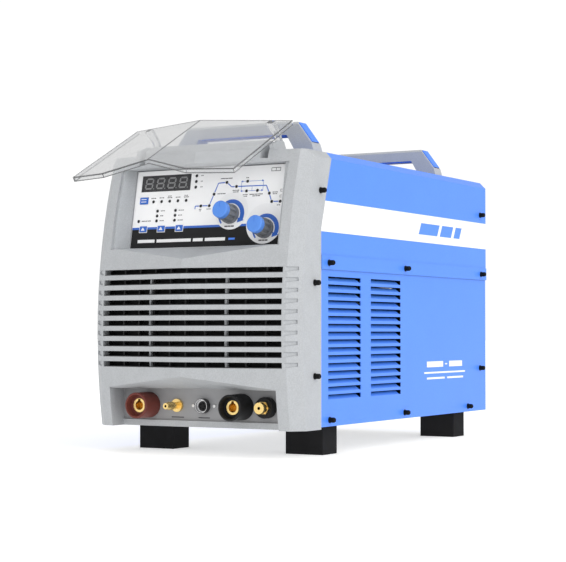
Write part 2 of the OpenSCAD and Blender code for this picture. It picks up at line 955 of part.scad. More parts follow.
// folded cover: roof, bevels and side aprons with a joggled lower band
module top_cover() {
  color("cornflowerblue") difference() {
    union() {
      intersection() {
        difference() {
          casing_section(0, seam_z, 60, body_d);
          casing_section(sheet, seam_z - 10, 0, body_d + 10);
        }
        behind_casing_edge(gap);
      }
      both_sides() intersection() {
        box(half_w - 0.3, half_w + band_out, 60, body_d, seam_z, band_z);
        behind_casing_edge(gap);
      }
      // turned-in rear lip
      difference() {
        casing_section(0.2, seam_z, body_d - sheet, body_d);
        casing_section(14, seam_z - 10, 0, body_d + 10);
      }
    }
    // the band stands proud so that the side panels tuck in behind it
    both_sides() box(half_w - 10, half_w - 0.8, 60, body_d - sheet - eps, seam_z - 1, band_z - 1);
    side_holes(seam_screw_at, screw_hole_r);
    side_holes(upper_rear_screw_at, screw_hole_r);
  }
}

// pressed-in louvre: the opening and the sloping flap hinged on its lower edge
module louvre_holes(x_out) {
  for (y = louvre_y, i = [0 : louvre_rows - 1])
    box(x_out - 8, x_out + 1, y, y + louvre_l,
        louvre_top - i * louvre_pitch - louvre_h, louvre_top - i * louvre_pitch);
}

module louvre_flaps(x_out) {
  flap_t = 1;
  for (y = louvre_y, i = [0 : louvre_rows - 1])
    translate([0, 0, louvre_top - i * louvre_pitch])
      front_profile(y, y + louvre_l - louvre_end, [
        [x_out, -louvre_h], [x_out - louvre_in, -louvre_gap], [x_out - louvre_in, -louvre_gap - 1.4 * flap_t],
        [x_out - sheet, -louvre_h - flap_t], [x_out, -louvre_h - flap_t]
      ]);
}

module side_panel() {
  x1 = half_w - 1;
  x0 = x1 - sheet;
  color("cornflowerblue") {
    difference() {
      union() {
        intersection() {
          box(x0, x1, 60, body_d, clearance, band_z - 2);
          behind_casing_edge(gap);
        }
        // joggled tongue behind the bezel flank
        box(half_w - wall - sheet - gap, half_w - wall - gap, tongue_y0, shoulder_y + 8, 100, band_z - 24);
        box(half_w - wall - sheet - gap, x1, shoulder_y + 6.5, shoulder_y + 8, 100, band_z - 24);
        // turned-in rear lip
        box(x1 - side_lip, x1, body_d - sheet, body_d, clearance, seam_z - 1);
      }
      // clear of the top cover's rear lip
      box(x0 - 1, x1 + 1, body_d - sheet - gap, body_d + 1, seam_z - gap, band_z);
      louvre_holes(x1);
      side_holes(concat(bezel_screw_at, seam_screw_at, lower_rear_screw_at, base_screw_at), screw_hole_r);
    }
    louvre_flaps(x1);
  }
}

module side_panel_right() {
  side_panel();
}

module side_panel_left() {
  mirror([1, 0, 0]) side_panel();
}

module rear_panel() {
  y1 = body_d - sheet;
  y0 = y1 - sheet;
  x = half_w - 3;
  color("cornflowerblue") difference() {
    union() {
      intersection() {
        box(-x, x, y0, y1, clearance + 4, body_h - 3);
        casing_section(3, clearance, y0 - 1, y1 + 1);
      }
      both_sides() box(x - sheet, x, y0 - 30, y0 + eps, clearance + 30, body_h - side_lip);
    }
    facing_back(fan_x, y0 - 1, fan_z) cylinder(r = fan_d / 2 + 2, h = sheet + 2);
    box(switch_x - switch_w / 2 + 5, switch_x + switch_w / 2 - 5, y0 - 1, y1 + 1,
        switch_z - switch_h / 2 + 5, switch_z + switch_h / 2 - 5);
    facing_back(gland_x, y0 - 1, gland_z) cylinder(r = 14 + gap, h = sheet + 2);
    facing_back(inlet_x, y0 - 1, inlet_z) cylinder(r = 6 + gap, h = sheet + 2);
    facing_back(earth_x, y0 - 1, earth_z) cylinder(r = 4 + gap, h = sheet + 2);
    for (sx = [-1, 1], sz = [-1, 1])
      facing_back(fan_x + sx * fan_screw, y0 - 1, fan_z + sz * fan_screw)
        cylinder(r = fan_screw_r, h = sheet + 2);
    side_holes(concat(upper_rear_screw_at, lower_rear_screw_at, seam_screw_at), screw_hole_r);
    // cooling slots beside the switch and the gland
    for (i = [0 : 7])
      box(-38, 38, y0 - 1, y1 + 1, switch_z - 38 + i * 10, switch_z - 34 + i * 10);
  }
}

// ---------- handles and feet ----------
module handle_outline(y) {
  under = handle_z - handle_under;
  difference() {
    front_profile(y, y + handle_d, [
      [-leg_foot_x, body_h], [-leg_x, leg_z], [-handle_x, handle_z], [handle_x, handle_z], [leg_x, leg_z],
      [leg_foot_x, body_h], [inner_foot_x, body_h], [inner_x, under], [-inner_x, under], [-inner_foot_x, body_h]
    ]);
    // long edges of the bar eased
    for (s = [0, 1])
      translate([0, y + s * handle_d, handle_z]) rotate([45, 0, 0])
        cube([big, 5, 5], center = true);
  }
}

// pockets for the soft inserts: one along the underside and one on each outer slope
module grip_bands(y, d, out) {
  under = handle_z - handle_under;
  slope = atan2(handle_z - leg_z, leg_x - handle_x);
  len = norm([leg_x - handle_x, handle_z - leg_z]);
  box(-inner_x + 3, inner_x - 3, y + 4 + d, y + handle_d - 4 - d, under - out, under + grip_t - d);
  both_sides() translate([handle_x, 0, handle_z]) rotate([0, slope, 0])
    translate([2 + d, y + 4 + d, -grip_t + d])
      cube([len - 4 - 2 * d, handle_d - 8 - 2 * d, grip_t - d + out]);
}

module handle(y) {
  difference() {
    handle_outline(y);
    grip_bands(y, 0, 1);
    // screw pockets in the feet
    both_sides() for (dy = [8, handle_d - 8])
      translate([(leg_foot_x + inner_foot_x) / 2, y + dy, body_h - 1]) cylinder(r = 2.1, h = 14);
  }
}

module front_handle() {
  color("lightgray") handle(front_handle_y);
}

module front_handle_grip() {
  color("cornflowerblue") grip_bands(front_handle_y, shaft_fit, grip_out);
}

module rear_handle() {
  color("lightgray") handle(rear_handle_y);
}

module rear_handle_grip() {
  color("cornflowerblue") grip_bands(rear_handle_y, shaft_fit, grip_out);
}

module foot(sx, y) {
  x = sx * foot_centre_x;
  difference() {
    box(x - foot_w / 2, x + foot_w / 2, y, y + foot_l, 0, clearance);
    translate([x, y + foot_l / 2, -1]) cylinder(r = 8, h = 16);
    translate([x, y + foot_l / 2, -1]) cylinder(r = 3, h = clearance + 2);
  }
}

module foot_front_left() {
  color("black") foot(-1, front_foot_y);
}

module foot_front_right() {
  color("black") foot(1, front_foot_y);
}

module foot_rear_left() {
  color("black") foot(-1, rear_foot_y);
}

module foot_rear_right() {
  color("black") foot(1, rear_foot_y);
}

// ---------- screws ----------
// hand screw: collar, tall barrel and tapered tip with a hex socket, its shank through the sheet
module side_screw(x, y, z) {
  translate([x, y, z]) rotate([0, 90, 0]) difference() {
    union() {
      translate([0, 0, -screw_l]) cylinder(r = screw_r, h = screw_l + 0.2);
      cylinder(r = screw_collar_r, h = screw_collar_h);
      cylinder(r = screw_head_r, h = screw_barrel_h);
      translate([0, 0, screw_barrel_h - eps])
        cylinder(r1 = screw_head_r, r2 = screw_tip_r, h = screw_head_h - screw_barrel_h);
    }
    translate([0, 0, screw_head_h - 3]) cylinder(r = 1.6, h = 4, $fn = 6);
  }
}

module bezel_screws() {
  color("black") both_sides() for (p = bezel_screw_at) side_screw(half_w, p[0], p[1]);
}

module casing_screws() {
  color("black") both_sides() {
    for (p = seam_screw_at) side_screw(half_w + band_out, p[0], p[1]);
    for (p = upper_rear_screw_at) side_screw(half_w, p[0], p[1]);
    for (p = concat(lower_rear_screw_at, base_screw_at)) side_screw(half_w - 1, p[0], p[1]);
  }
}

// ---------- rear ----------
module fan_frame() {
  h = fan_box / 2;
  color("dimgray") difference() {
    union() {
      difference() {
        box(fan_x - h, fan_x + h, fan_y1 - fan_t, fan_y1, fan_z - h, fan_z + h);
        box(fan_x - h - 1, fan_x + h + 1, fan_y1 - fan_t + 5, fan_y1 - 5, fan_z - h - 1, fan_z + h + 1);
      }
      facing_front(fan_x, fan_y1 - 2, fan_z) cylinder(r = fan_d / 2 + 5, h = fan_t - 4);
    }
    facing_front(fan_x, fan_y1 + 1, fan_z) cylinder(r = fan_d / 2 + 2, h = fan_t + 2);
    for (sx = [-1, 1], sz = [-1, 1])
      facing_front(fan_x + sx * fan_screw, fan_y1 + 1, fan_z + sz * fan_screw)
        cylinder(r = fan_screw_r, h = fan_t + 2);
  }
  // motor mount: four struts and the stator post
  color("dimgray") difference() {
    union() {
      facing_front(fan_x, fan_y1 - fan_t + 5, fan_z) cylinder(r = hub_r - 4, h = 5);
      for (a = [45 : 90 : 315])
        translate([fan_x, fan_y1 - fan_t, fan_z]) rotate([0, a, 0])
          box(-3, 3, 0, 4, hub_r - 6, fan_d / 2 + 3);
      facing_front(fan_x, fan_y1 - fan_t + 22, fan_z) cylinder(r = 7, h = 20);
    }
    facing_front(fan_x, fan_y1 - fan_t + 30, fan_z) cylinder(r = 2.5 + shaft_fit, h = 28);
  }
}

// hub cup with its shaft and pitched blades
module fan_rotor() {
  y0 = fan_y1 - fan_t + 8;
  y1 = fan_y1 - 5;
  color("black") union() {
    difference() {
      facing_front(fan_x, y1, fan_z) cylinder(r = hub_r, h = y1 - y0);
      facing_front(fan_x, y1 - 3, fan_z) cylinder(r = hub_r - 3, h = y1 - y0);
    }
    facing_front(fan_x, y1 - 1, fan_z) cylinder(r = 2.5, h = y1 - y0 - 4);
    intersection() {
      facing_front(fan_x, y1 - 1, fan_z) difference() {
        cylinder(r = fan_d / 2 - 1, h = y1 - y0 - 2);
        translate([0, 0, -1]) cylinder(r = hub_r - 1, h = y1 - y0);
      }
      union() for (i = [0 : blades - 1])
        translate([fan_x, (y0 + y1) / 2, fan_z]) rotate([0, i * 360 / blades, 0]) rotate([0, 0, blade_pitch])
          box(-blade_chord / 2, blade_chord / 2, -1.1, 1.1, hub_r - 3, fan_d / 2);
    }
  }
}

// finger guard: flat rings on two crossed bars, held off the panel by four feet
module fan_guard() {
  bar = 3;
  rings = [for (i = [0 : 5]) 14 + 13.5 * i];
  h = 6;
  reach = norm([fan_screw, fan_screw]);
  color("silver") facing_back(fan_x, body_d - sheet, fan_z) difference() {
    union() {
      for (r = rings) translate([0, 0, h - 2]) difference() {
        cylinder(r = r + bar / 2, h = 2.5);
        translate([0, 0, -1]) cylinder(r = r - bar / 2, h = 5);
      }
      for (a = [45, 135]) rotate([0, 0, a])
        translate([-reach, -bar / 2, h - 1]) cube([2 * reach, bar, 2.5]);
      for (a = [45 : 90 : 315]) rotate([0, 0, a]) translate([reach, 0, 0]) cylinder(r = 6, h = h + 1.5);
    }
    for (a = [45 : 90 : 315]) rotate([0, 0, a]) translate([reach, 0, -1]) cylinder(r = fan_screw_r, h = h + 4);
  }
}

module power_switch_body() {
  x = switch_w / 2;
  z = switch_h / 2;
  y1 = body_d - sheet;
  color("dimgray") difference() {
    union() {
      box(switch_x - x, switch_x + x, y1, y1 + 3, switch_z - z, switch_z + z);
      box(switch_x - x + 5.3, switch_x + x - 5.3, y1 - switch_deep, y1 + eps,
          switch_z - z + 5.3, switch_z + z - 5.3);
      box(switch_x - x + 8, switch_x + x - 8, y1, y1 + 8, switch_z - 22, switch_z + 22);
    }
    box(switch_x - 15, switch_x + 15, y1 - 12, y1 + 10, switch_z - 16, switch_z + 16);
    translate([switch_x - 18, y1 - 2, switch_z]) rotate([0, 90, 0]) cylinder(r = 2 + shaft_fit, h = 36);
  }
}

// tie-bar lever of the breaker, shown switched off (down)
module power_switch_lever() {
  y1 = body_d - sheet;
  lever_tilt = -25;
  color("black") translate([switch_x, y1 - 2, switch_z]) rotate([lever_tilt, 0, 0]) union() {
    rotate([0, 90, 0]) cylinder(r = 7, h = 28, center = true);
    box(-14, 14, 0, 18, -2.5, 2.5);
    rotate([0, 90, 0]) cylinder(r = 2, h = 34, center = true);
  }
}

module cable_gland_body() {
  y1 = body_d - sheet;
  color("black") difference() {
    union() {
      facing_back(gland_x, y1, gland_z) cylinder(r = 18, h = 7, $fn = 6);
      facing_back(gland_x, y1 - 12, gland_z) cylinder(r = 14, h = 30);
      facing_back(gland_x, y1 - sheet - 6, gland_z) cylinder(r = 18, h = 6, $fn = 6);
    }
    facing_back(gland_x, y1 - 13, gland_z) cylinder(r = gland_bore, h = 40);
  }
}

module cable_gland_nut() {
  y1 = body_d - sheet;
  color("black") difference() {
    union() {
      facing_back(gland_x, y1 + 7.3, gland_z) cylinder(r = 18, h = 13, $fn = 6);
      facing_back(gland_x, y1 + 20, gland_z) cylinder(r1 = 15, r2 = 11.5, h = 6);
    }
    facing_back(gland_x, y1 + 7, gland_z) cylinder(r = 14 + shaft_fit, h = 11.2);
    facing_back(gland_x, y1 + 7, gland_z) cylinder(r = gland_bore, h = 40);
  }
}

module gas_inlet_fitting() {
  color("gold") facing_back(inlet_x, body_d - sheet, inlet_z)
    nipple(inlet_out, 4.6, 5.8, 10, 4, 2, 18);
}

module gas_solenoid_valve() {
  y1 = body_d - sheet - 19;
  color("gray") union() {
    box(inlet_x - 14, inlet_x + 14, y1 - 30, y1, inlet_z - 12, inlet_z + 12);
    translate([inlet_x, y1 - 15, inlet_z + 12 - eps]) cylinder(r = 13, h = 34);
    facing_front(inlet_x, y1 - 30, inlet_z) cylinder(r = 4.5, h = 16);
  }
}

module earth_stud() {
  y1 = body_d - sheet;
  color("silver") union() {
    facing_back(earth_x, y1 - 14, earth_z) cylinder(r = 4, h = 36);
    facing_back(earth_x, y1, earth_z) cylinder(r = 8, h = 1.6);
    facing_back(earth_x, y1 + 1.6, earth_z) cylinder(r = 7.5, h = 6.5, $fn = 6);
    facing_back(earth_x, y1 - sheet - 6.5, earth_z) cylinder(r = 7.5, h = 6.5, $fn = 6);
  }
}

// ---------- inside ----------
// two finned extrusions facing each other across the air path
module heatsinks() {
  fins = 13;
  color("silver") both_sides() union() {
    box(96, 102, sink_y0, sink_y0 + sink_l, floor_z, floor_z + 170);
    for (i = [0 : fins])
      box(58, 97, sink_y0, sink_y0 + sink_l, floor_z + i * 12.9, floor_z + i * 12.9 + 2.2);
  }
}

module power_board() {
  z = floor_z + 176;
  color("darkgreen") union() {
    box(-128, 128, sink_y0, sink_y0 + sink_l, z, z + 2);
    for (x = [-104, 76], i = [0 : 3])
      box(x, x + 28, sink_y0 + 24 + i * 68, sink_y0 + 62 + i * 68, z + 2 - eps, z + 20);
    both_sides() for (dy = [10, sink_l - 10])
      translate([99, sink_y0 + dy, floor_z + 170]) cylinder(r = 2.8, h = 6 + eps);
  }
}

module capacitors() {
  z = floor_z + 178;
  color("black") for (x = [-32, 32], i = [0 : 2]) {
    translate([x, sink_y0 + 62 + i * 74, z]) cylinder(r = 25, h = 92);
    translate([x, sink_y0 + 62 + i * 74, z + 92 - eps]) cylinder(r1 = 25, r2 = 23, h = 3);
  }
}

// ferrite frame with its wound bobbin
module wound_core(x, y, w, d, h) {
  box(x - w / 2, x + w / 2, y, y + d, floor_z + 4, floor_z + 4 + h);
  box(x - w / 2 + 9, x + w / 2 - 9, y - 12, y + d + 12, floor_z + 18, floor_z + 4 + h - 14);
  both_sides_at(x, w / 2 - 8) box(-8, 8, y, y + d, floor_z, floor_z + 4 + eps);
}

module both_sides_at(x, d) {
  translate([x - d, 0, 0]) children();
  translate([x + d, 0, 0]) children();
}

module main_transformer() {
  color("peru") wound_core(-1, sink_y0 + 30, 88, 64, 86);
}

module output_reactor() {
  color("peru") wound_core(-1, sink_y0 + 160, 80, 90, 76);
}

// ignition coil on its post behind the connector plate
module hf_coil() {
  color("orange") translate([neg_x, 132, floor_z]) {
    cylinder(r = 10, h = 14);
    translate([0, 0, 14 - eps]) difference() {
      cylinder(r = 27, h = 34);
      translate([0, 0, -1]) cylinder(r = 11, h = 36);
    }
    translate([0, 0, 2]) cylinder(r = 27, h = 3);
  }
}

in_frame() front_bezel();
in_frame() vent_grille();
in_frame() connector_plate();
in_frame() control_plate();
in_frame() panel_label();
in_frame() display_window();
in_frame() control_board();
in_frame() status_leds();
in_frame() potentiometers();
in_frame() adjust_knob();
in_frame() adjust_knob_cap();
in_frame() current_knob();
in_frame() current_knob_cap();
in_frame() set_button();
in_frame() left_button();
in_frame() middle_button();
in_frame() right_button();
in_frame() clear_cover();
in_frame() cover_hinge_pins();
in_frame() positive_socket_shell();
in_frame() positive_socket_insert();
in_frame() negative_socket_shell();
in_frame() negative_socket_insert();
in_frame() pilot_arc_fitting();
in_frame() control_socket_shell();
in_frame() control_socket_core();
in_frame() control_socket_screws();
in_frame() gas_outlet_base();
in_frame() gas_outlet_fitting();
in_frame() base_tray();
in_frame() top_cover();
in_frame() side_panel_left();
in_frame() side_panel_right();
in_frame() rear_panel();
in_frame() front_handle();
in_frame() front_handle_grip();
in_frame() rear_handle();
in_frame() rear_handle_grip();
in_frame() foot_front_left();
in_frame() foot_front_right();
in_frame() foot_rear_left();
in_frame() foot_rear_right();
in_frame() bezel_screws();
in_frame() casing_screws();
in_frame() fan_frame();
in_frame() fan_rotor();
in_frame() fan_guard();
in_frame() power_switch_body();
in_frame() power_switch_lever();
in_frame() cable_gland_body();
in_frame() cable_gland_nut();
in_frame() gas_inlet_fitting();
in_frame() gas_solenoid_valve();
in_frame() earth_stud();
in_frame() heatsinks();
in_frame() power_board();
in_frame() capacitors();
in_frame() main_transformer();
in_frame() output_reactor();
in_frame() hf_coil();
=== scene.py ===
import bpy
import bmesh
import json
import math
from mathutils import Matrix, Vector


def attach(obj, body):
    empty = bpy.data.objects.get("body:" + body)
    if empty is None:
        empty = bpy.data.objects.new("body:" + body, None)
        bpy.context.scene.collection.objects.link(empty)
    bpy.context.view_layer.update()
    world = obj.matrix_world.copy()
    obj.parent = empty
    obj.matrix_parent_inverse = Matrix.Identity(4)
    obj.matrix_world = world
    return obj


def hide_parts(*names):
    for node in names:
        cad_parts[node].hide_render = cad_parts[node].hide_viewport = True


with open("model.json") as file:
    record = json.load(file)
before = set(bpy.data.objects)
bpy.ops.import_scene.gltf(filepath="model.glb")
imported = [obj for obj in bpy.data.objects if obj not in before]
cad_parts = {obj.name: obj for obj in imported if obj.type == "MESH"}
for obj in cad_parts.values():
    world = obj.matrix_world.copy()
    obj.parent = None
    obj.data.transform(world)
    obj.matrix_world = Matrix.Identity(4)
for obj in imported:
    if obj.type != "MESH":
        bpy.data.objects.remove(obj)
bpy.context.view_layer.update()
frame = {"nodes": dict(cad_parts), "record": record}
NODES = frame["nodes"]
RECORD = frame["record"]
SCENE = bpy.context.scene
SLOT_OF = {s["node"]: s["material_slot"] for s in RECORD["subparts"]}
BODY_OF = {n: b for b, ns in RECORD["behaviour"]["bodies"].items() for n in ns}
MM = 0.001
# the CAD drawing's own zero line, and faces of the casing in it, in millimetres
DRAWING_Y = 290.0
HALF_W = 170.0
PLATE_Y = -250.0

# ---------------------------------------------------------------- camera
YAW = math.radians(29.534)
PITCH = math.radians(1.731)
camera = bpy.data.objects.new("camera", bpy.data.cameras.new("camera"))
SCENE.collection.objects.link(camera)
camera.data.sensor_width = 36.0
camera.data.lens = 104.61
camera.data.clip_end = 60.0
camera.location = (1.2455, -2.2240, 0.1745)
look = Vector((-math.sin(YAW) * math.cos(PITCH), math.cos(YAW) * math.cos(PITCH), math.sin(PITCH)))
camera.rotation_mode = "QUATERNION"
camera.rotation_quaternion = look.to_track_quat("-Z", "Y")
SCENE.camera = camera


# ---------------------------------------------------------------- materials
GRAIN_SPREAD = 0.06
SPECKLE_SIZE = 0.0016


def start(name):
    """A new node material, its tree and its main shader."""
    mat = bpy.data.materials.new(name)
    mat.use_nodes = True
    tree = mat.node_tree
    return mat, tree, tree.nodes["Principled BSDF"]


def node(tree, kind, **values):
    """A new node; each value sets an input socket or a property of that name."""
    made = tree.nodes.new(kind)
    for key, value in values.items():
        if key in made.inputs:
            made.inputs[key].default_value = value
        else:
            setattr(made, key, value)
    return made


def object_coords(tree):
    return node(tree, "ShaderNodeTexCoord").outputs["Object"]


def noise(tree, size, detail=2.0, coords=None):
    """Noise with features of the given size in metres."""
    made = node(tree, "ShaderNodeTexNoise", Scale=1.0 / size, Detail=detail)
    tree.links.new(coords or object_coords(tree), made.inputs["Vector"])
    return made.outputs["Fac"]


def mapped(tree, source, lo, hi, from_lo=0.3, from_hi=0.7):
    """The source stretched to lo..hi; the usual range of noise is the default input."""
    made = node(tree, "ShaderNodeMapRange")
    made.inputs["From Min"].default_value = from_lo
    made.inputs["From Max"].default_value = from_hi
    made.inputs["To Min"].default_value = lo
    made.inputs["To Max"].default_value = hi
    tree.links.new(source, made.inputs["Value"])
    return made.outputs["Result"]


def mix_colour(tree, factor, a, b):
    """A blend of two colours, each a tuple or a socket."""
    made = node(tree, "ShaderNodeMix", data_type="RGBA")
    tree.links.new(factor, made.inputs[0])
    for socket, value in ((made.inputs[6], a), (made.inputs[7], b)):
        if isinstance(value, tuple):
            socket.default_value = (*value[:3], 1.0)
        else:
            tree.links.new(value, socket)
    return made.outputs[2]


def maths(tree, operation, a, b=None):
    """One sum on numbers or sockets."""
    made = node(tree, "ShaderNodeMath", operation=operation)
    for socket, value in zip(made.inputs, (a, b)):
        if isinstance(value, (int, float)):
            socket.default_value = value
        elif value is not None:
            tree.links.new(value, socket)
    return made.outputs[0]


def shade(colour, amount):
    """The colour made lighter or darker by a share of itself."""
    return tuple(min(1.0, c * (1.0 + amount)) for c in colour[:3])


def bump(tree, bsdf, height, depth):
    made = node(tree, "ShaderNodeBump", Strength=1.0, Distance=depth)
    tree.links.new(height, made.inputs["Height"])
    tree.links.new(made.outputs["Normal"], bsdf.inputs["Normal"])


def moulded(name, colour, rough=0.5, grain=0.0006, depth=0.00002, mottle=0.03, mottle_size=0.02,
            coat=0.0, specular=0.5, speckle=0.0, under=None):
    """Plastic, paint or cast surface: slow colour drift, uneven gloss and a fine grain.

    speckle adds fine light and dark points; under is a darker colour painted as shade on faces that look
    down.
    """
    mat, tree, bsdf = start(name)
    drift = mapped(tree, noise(tree, mottle_size, 3.0), 0.0, 1.0)
    if speckle:
        fine = mapped(tree, noise(tree, SPECKLE_SIZE, 1.0), -speckle / mottle, speckle / mottle)
        drift = maths(tree, "ADD", drift, fine)
    base = mix_colour(tree, drift, shade(colour, -mottle), shade(colour, mottle))
    # painted shade: faces that look down blend towards the darker under colour
    if under:
        apart = node(tree, "ShaderNodeSeparateXYZ")
        tree.links.new(node(tree, "ShaderNodeNewGeometry").outputs["Normal"], apart.inputs[0])
        downward_shade = mapped(tree, apart.outputs["Z"], 1.0, 0.0, -0.8, -0.2)
        base = mix_colour(tree, downward_shade, base, under)
    tree.links.new(base, bsdf.inputs["Base Color"])
    grain_out = noise(tree, grain, 2.0)
    gloss = mapped(tree, grain_out, rough - GRAIN_SPREAD, rough + GRAIN_SPREAD)
    tree.links.new(gloss, bsdf.inputs["Roughness"])
    bump(tree, bsdf, grain_out, depth)
    bsdf.inputs["Coat Weight"].default_value = coat
    bsdf.inputs["Coat Roughness"].default_value = 0.12
    bsdf.inputs["Specular IOR Level"].default_value = specular
    return mat


RING_PITCH = 0.0004
RING_DEPTH = 0.000012


def turned(name, colour, rough, axis="Y"):
    """Metal turned on a lathe: fine rings across the axis, soft stains."""
    mat, tree, bsdf = start(name)
    coords = object_coords(tree)
    stain = noise(tree, 0.006, 3.0, coords)
    tree.links.new(
        mix_colour(tree, mapped(tree, stain, 0.0, 1.0), shade(colour, -0.10), shade(colour, 0.06)),
        bsdf.inputs["Base Color"],
    )
    rings = node(tree, "ShaderNodeTexWave", Scale=1.0 / (20.0 * RING_PITCH), Distortion=0.6)
    rings.bands_direction = axis
    tree.links.new(coords, rings.inputs["Vector"])
    bump(tree, bsdf, rings.outputs["Fac"], RING_DEPTH)
    tree.links.new(mapped(tree, stain, rough - 0.06, rough + 0.08), bsdf.inputs["Roughness"])
    bsdf.inputs["Metallic"].default_value = 1.0
    return mat


def brushed(name, colour, rough, stretch=(1.0, 40.0, 1.0)):
    """Sheet metal with a directional grain."""
    mat, tree, bsdf = start(name)
    scaled = node(tree, "ShaderNodeMapping")
    scaled.inputs["Scale"].default_value = stretch
    tree.links.new(object_coords(tree), scaled.inputs["Vector"])
    lines = noise(tree, 0.02, 4.0, scaled.outputs["Vector"])
    tree.links.new(
        mix_colour(tree, mapped(tree, lines, 0.0, 1.0), shade(colour, -0.08), shade(colour, 0.08)),
        bsdf.inputs["Base Color"],
    )
    tree.links.new(mapped(tree, lines, rough - 0.08, rough + 0.1), bsdf.inputs["Roughness"])
    bump(tree, bsdf, lines, 0.00001)
    bsdf.inputs["Metallic"].default_value = 1.0
    return mat


def casing_paint(name, colour, stripe, z_lo, z_hi, x_min, inside_shade, middle):
    """Powder coat with one stripe along both sides; the faces turned to the inside are painted near-black as
    shade.
    """
    mat, tree, bsdf = start(name)
    coords = object_coords(tree)
    split = node(tree, "ShaderNodeSeparateXYZ")
    tree.links.new(coords, split.inputs[0])
    x, z = split.outputs["X"], split.outputs["Z"]
    above = maths(tree, "GREATER_THAN", z, z_lo)
    in_height = maths(tree, "MULTIPLY", above, maths(tree, "LESS_THAN", z, z_hi))
    outboard = maths(tree, "GREATER_THAN", maths(tree, "ABSOLUTE", x), x_min)
    on_stripe = maths(tree, "MULTIPLY", in_height, outboard)
    drift = mapped(tree, noise(tree, 0.05, 3.0, coords), 0.0, 1.0)
    base = mix_colour(tree, drift, shade(colour, -0.02), shade(colour, 0.02))
    band = mix_colour(tree, drift, shade(stripe, -0.01), shade(stripe, 0.01))
    outer = mix_colour(tree, on_stripe, base, band)
    # a face looks inward when its normal points to the middle; height counts less than the sides do
    from_middle = node(tree, "ShaderNodeVectorMath", operation="SUBTRACT")
    tree.links.new(coords, from_middle.inputs[0])
    from_middle.inputs[1].default_value = middle
    flattened = node(tree, "ShaderNodeVectorMath", operation="MULTIPLY")
    tree.links.new(from_middle.outputs["Vector"], flattened.inputs[0])
    flattened.inputs[1].default_value = (1.0, 1.0, 0.3)
    facing = node(tree, "ShaderNodeVectorMath", operation="DOT_PRODUCT")
    tree.links.new(flattened.outputs["Vector"], facing.inputs[0])
    tree.links.new(node(tree, "ShaderNodeNewGeometry").outputs["True Normal"], facing.inputs[1])
    # painted shade: faces that look inward take the near-black inside colour
    inward = maths(tree, "LESS_THAN", facing.outputs["Value"], 0.0)
    tree.links.new(mix_colour(tree, inward, outer, inside_shade), bsdf.inputs["Base Color"])
    peel = noise(tree, 0.0022, 2.0, coords)
    tree.links.new(mapped(tree, peel, 0.34, 0.44), bsdf.inputs["Roughness"])
    bump(tree, bsdf, peel, 0.00003)
    return mat


def lined_ring(name, centre, split_r, lining, outside):
    """A plated sleeve inside a dark ring, told apart by the distance from the ring's axis."""
    mat, tree, bsdf = start(name)
    coords = object_coords(tree)
    split = node(tree, "ShaderNodeSeparateXYZ")
    tree.links.new(coords, split.inputs[0])
    dx = maths(tree, "SUBTRACT", split.outputs["X"], centre[0])
    dz = maths(tree, "SUBTRACT", split.outputs["Z"], centre[1])
    squares = maths(tree, "ADD", maths(tree, "MULTIPLY", dx, dx), maths(tree, "MULTIPLY", dz, dz))
    radius = maths(tree, "SQRT", squares)
    is_outside = maths(tree, "GREATER_THAN", radius, split_r)
    grain = noise(tree, 0.0006, 2.0, coords)
    tree.links.new(mix_colour(tree, is_outside, lining, outside), bsdf.inputs["Base Color"])
    tree.links.new(maths(tree, "SUBTRACT", 1.0, is_outside), bsdf.inputs["Metallic"])
    tree.links.new(mapped(tree, grain, 0.30, 0.42), bsdf.inputs["Roughness"])
    bump(tree, bsdf, grain, 0.00001)
    return mat


def clear_plastic(name, tint, haze_amount):
    """Clear sheet that bends what is behind it, slightly hazed, and lets the lamps through."""
    mat, tree, bsdf = start(name)
    cloud = noise(tree, 0.03, 3.0)
    bsdf.inputs["Base Color"].default_value = (*tint, 1.0)
    bsdf.inputs["Transmission Weight"].default_value = 1.0
    bsdf.inputs["IOR"].default_value = 1.40
    tree.links.new(mapped(tree, cloud, 0.0, 0.05), bsdf.inputs["Roughness"])
    haze = node(tree, "ShaderNodeBsdfDiffuse")
    haze.inputs["Color"].default_value = (0.60, 0.605, 0.615, 1.0)
    hazed = node(tree, "ShaderNodeMixShader")
    tree.links.new(mapped(tree, cloud, haze_amount * 0.8, haze_amount * 1.2), hazed.inputs[0])
    tree.links.new(bsdf.outputs[0], hazed.inputs[1])
    tree.links.new(haze.outputs[0], hazed.inputs[2])
    path = node(tree, "ShaderNodeLightPath")
    through = node(tree, "ShaderNodeBsdfTransparent")
    through.inputs["Color"].default_value = (0.86, 0.87, 0.88, 1.0)
    either = node(tree, "ShaderNodeMixShader")
    tree.links.new(path.outputs["Is Shadow Ray"], either.inputs[0])
    tree.links.new(hazed.outputs[0], either.inputs[1])
    tree.links.new(through.outputs[0], either.inputs[2])
    tree.links.new(either.outputs[0], tree.nodes["Material Output"].inputs["Surface"])
    return mat


BLUE = (0.075, 0.257, 0.925)
INK_BLUE = (0.035, 0.140, 0.56)
WHITE = (0.93, 0.93, 0.93)
# near-black painted shade for the faces turned to the inside of the casing
INSIDE_SHADE = (0.02, 0.02, 0.022)
# the stripe on the casing, and the middle of the casing, in metres
STRIPE_LOW, STRIPE_HIGH, STRIPE_X = 0.3125, 0.3555, 0.1690
CASING_MIDDLE = (0.0, 0.03, 0.22)

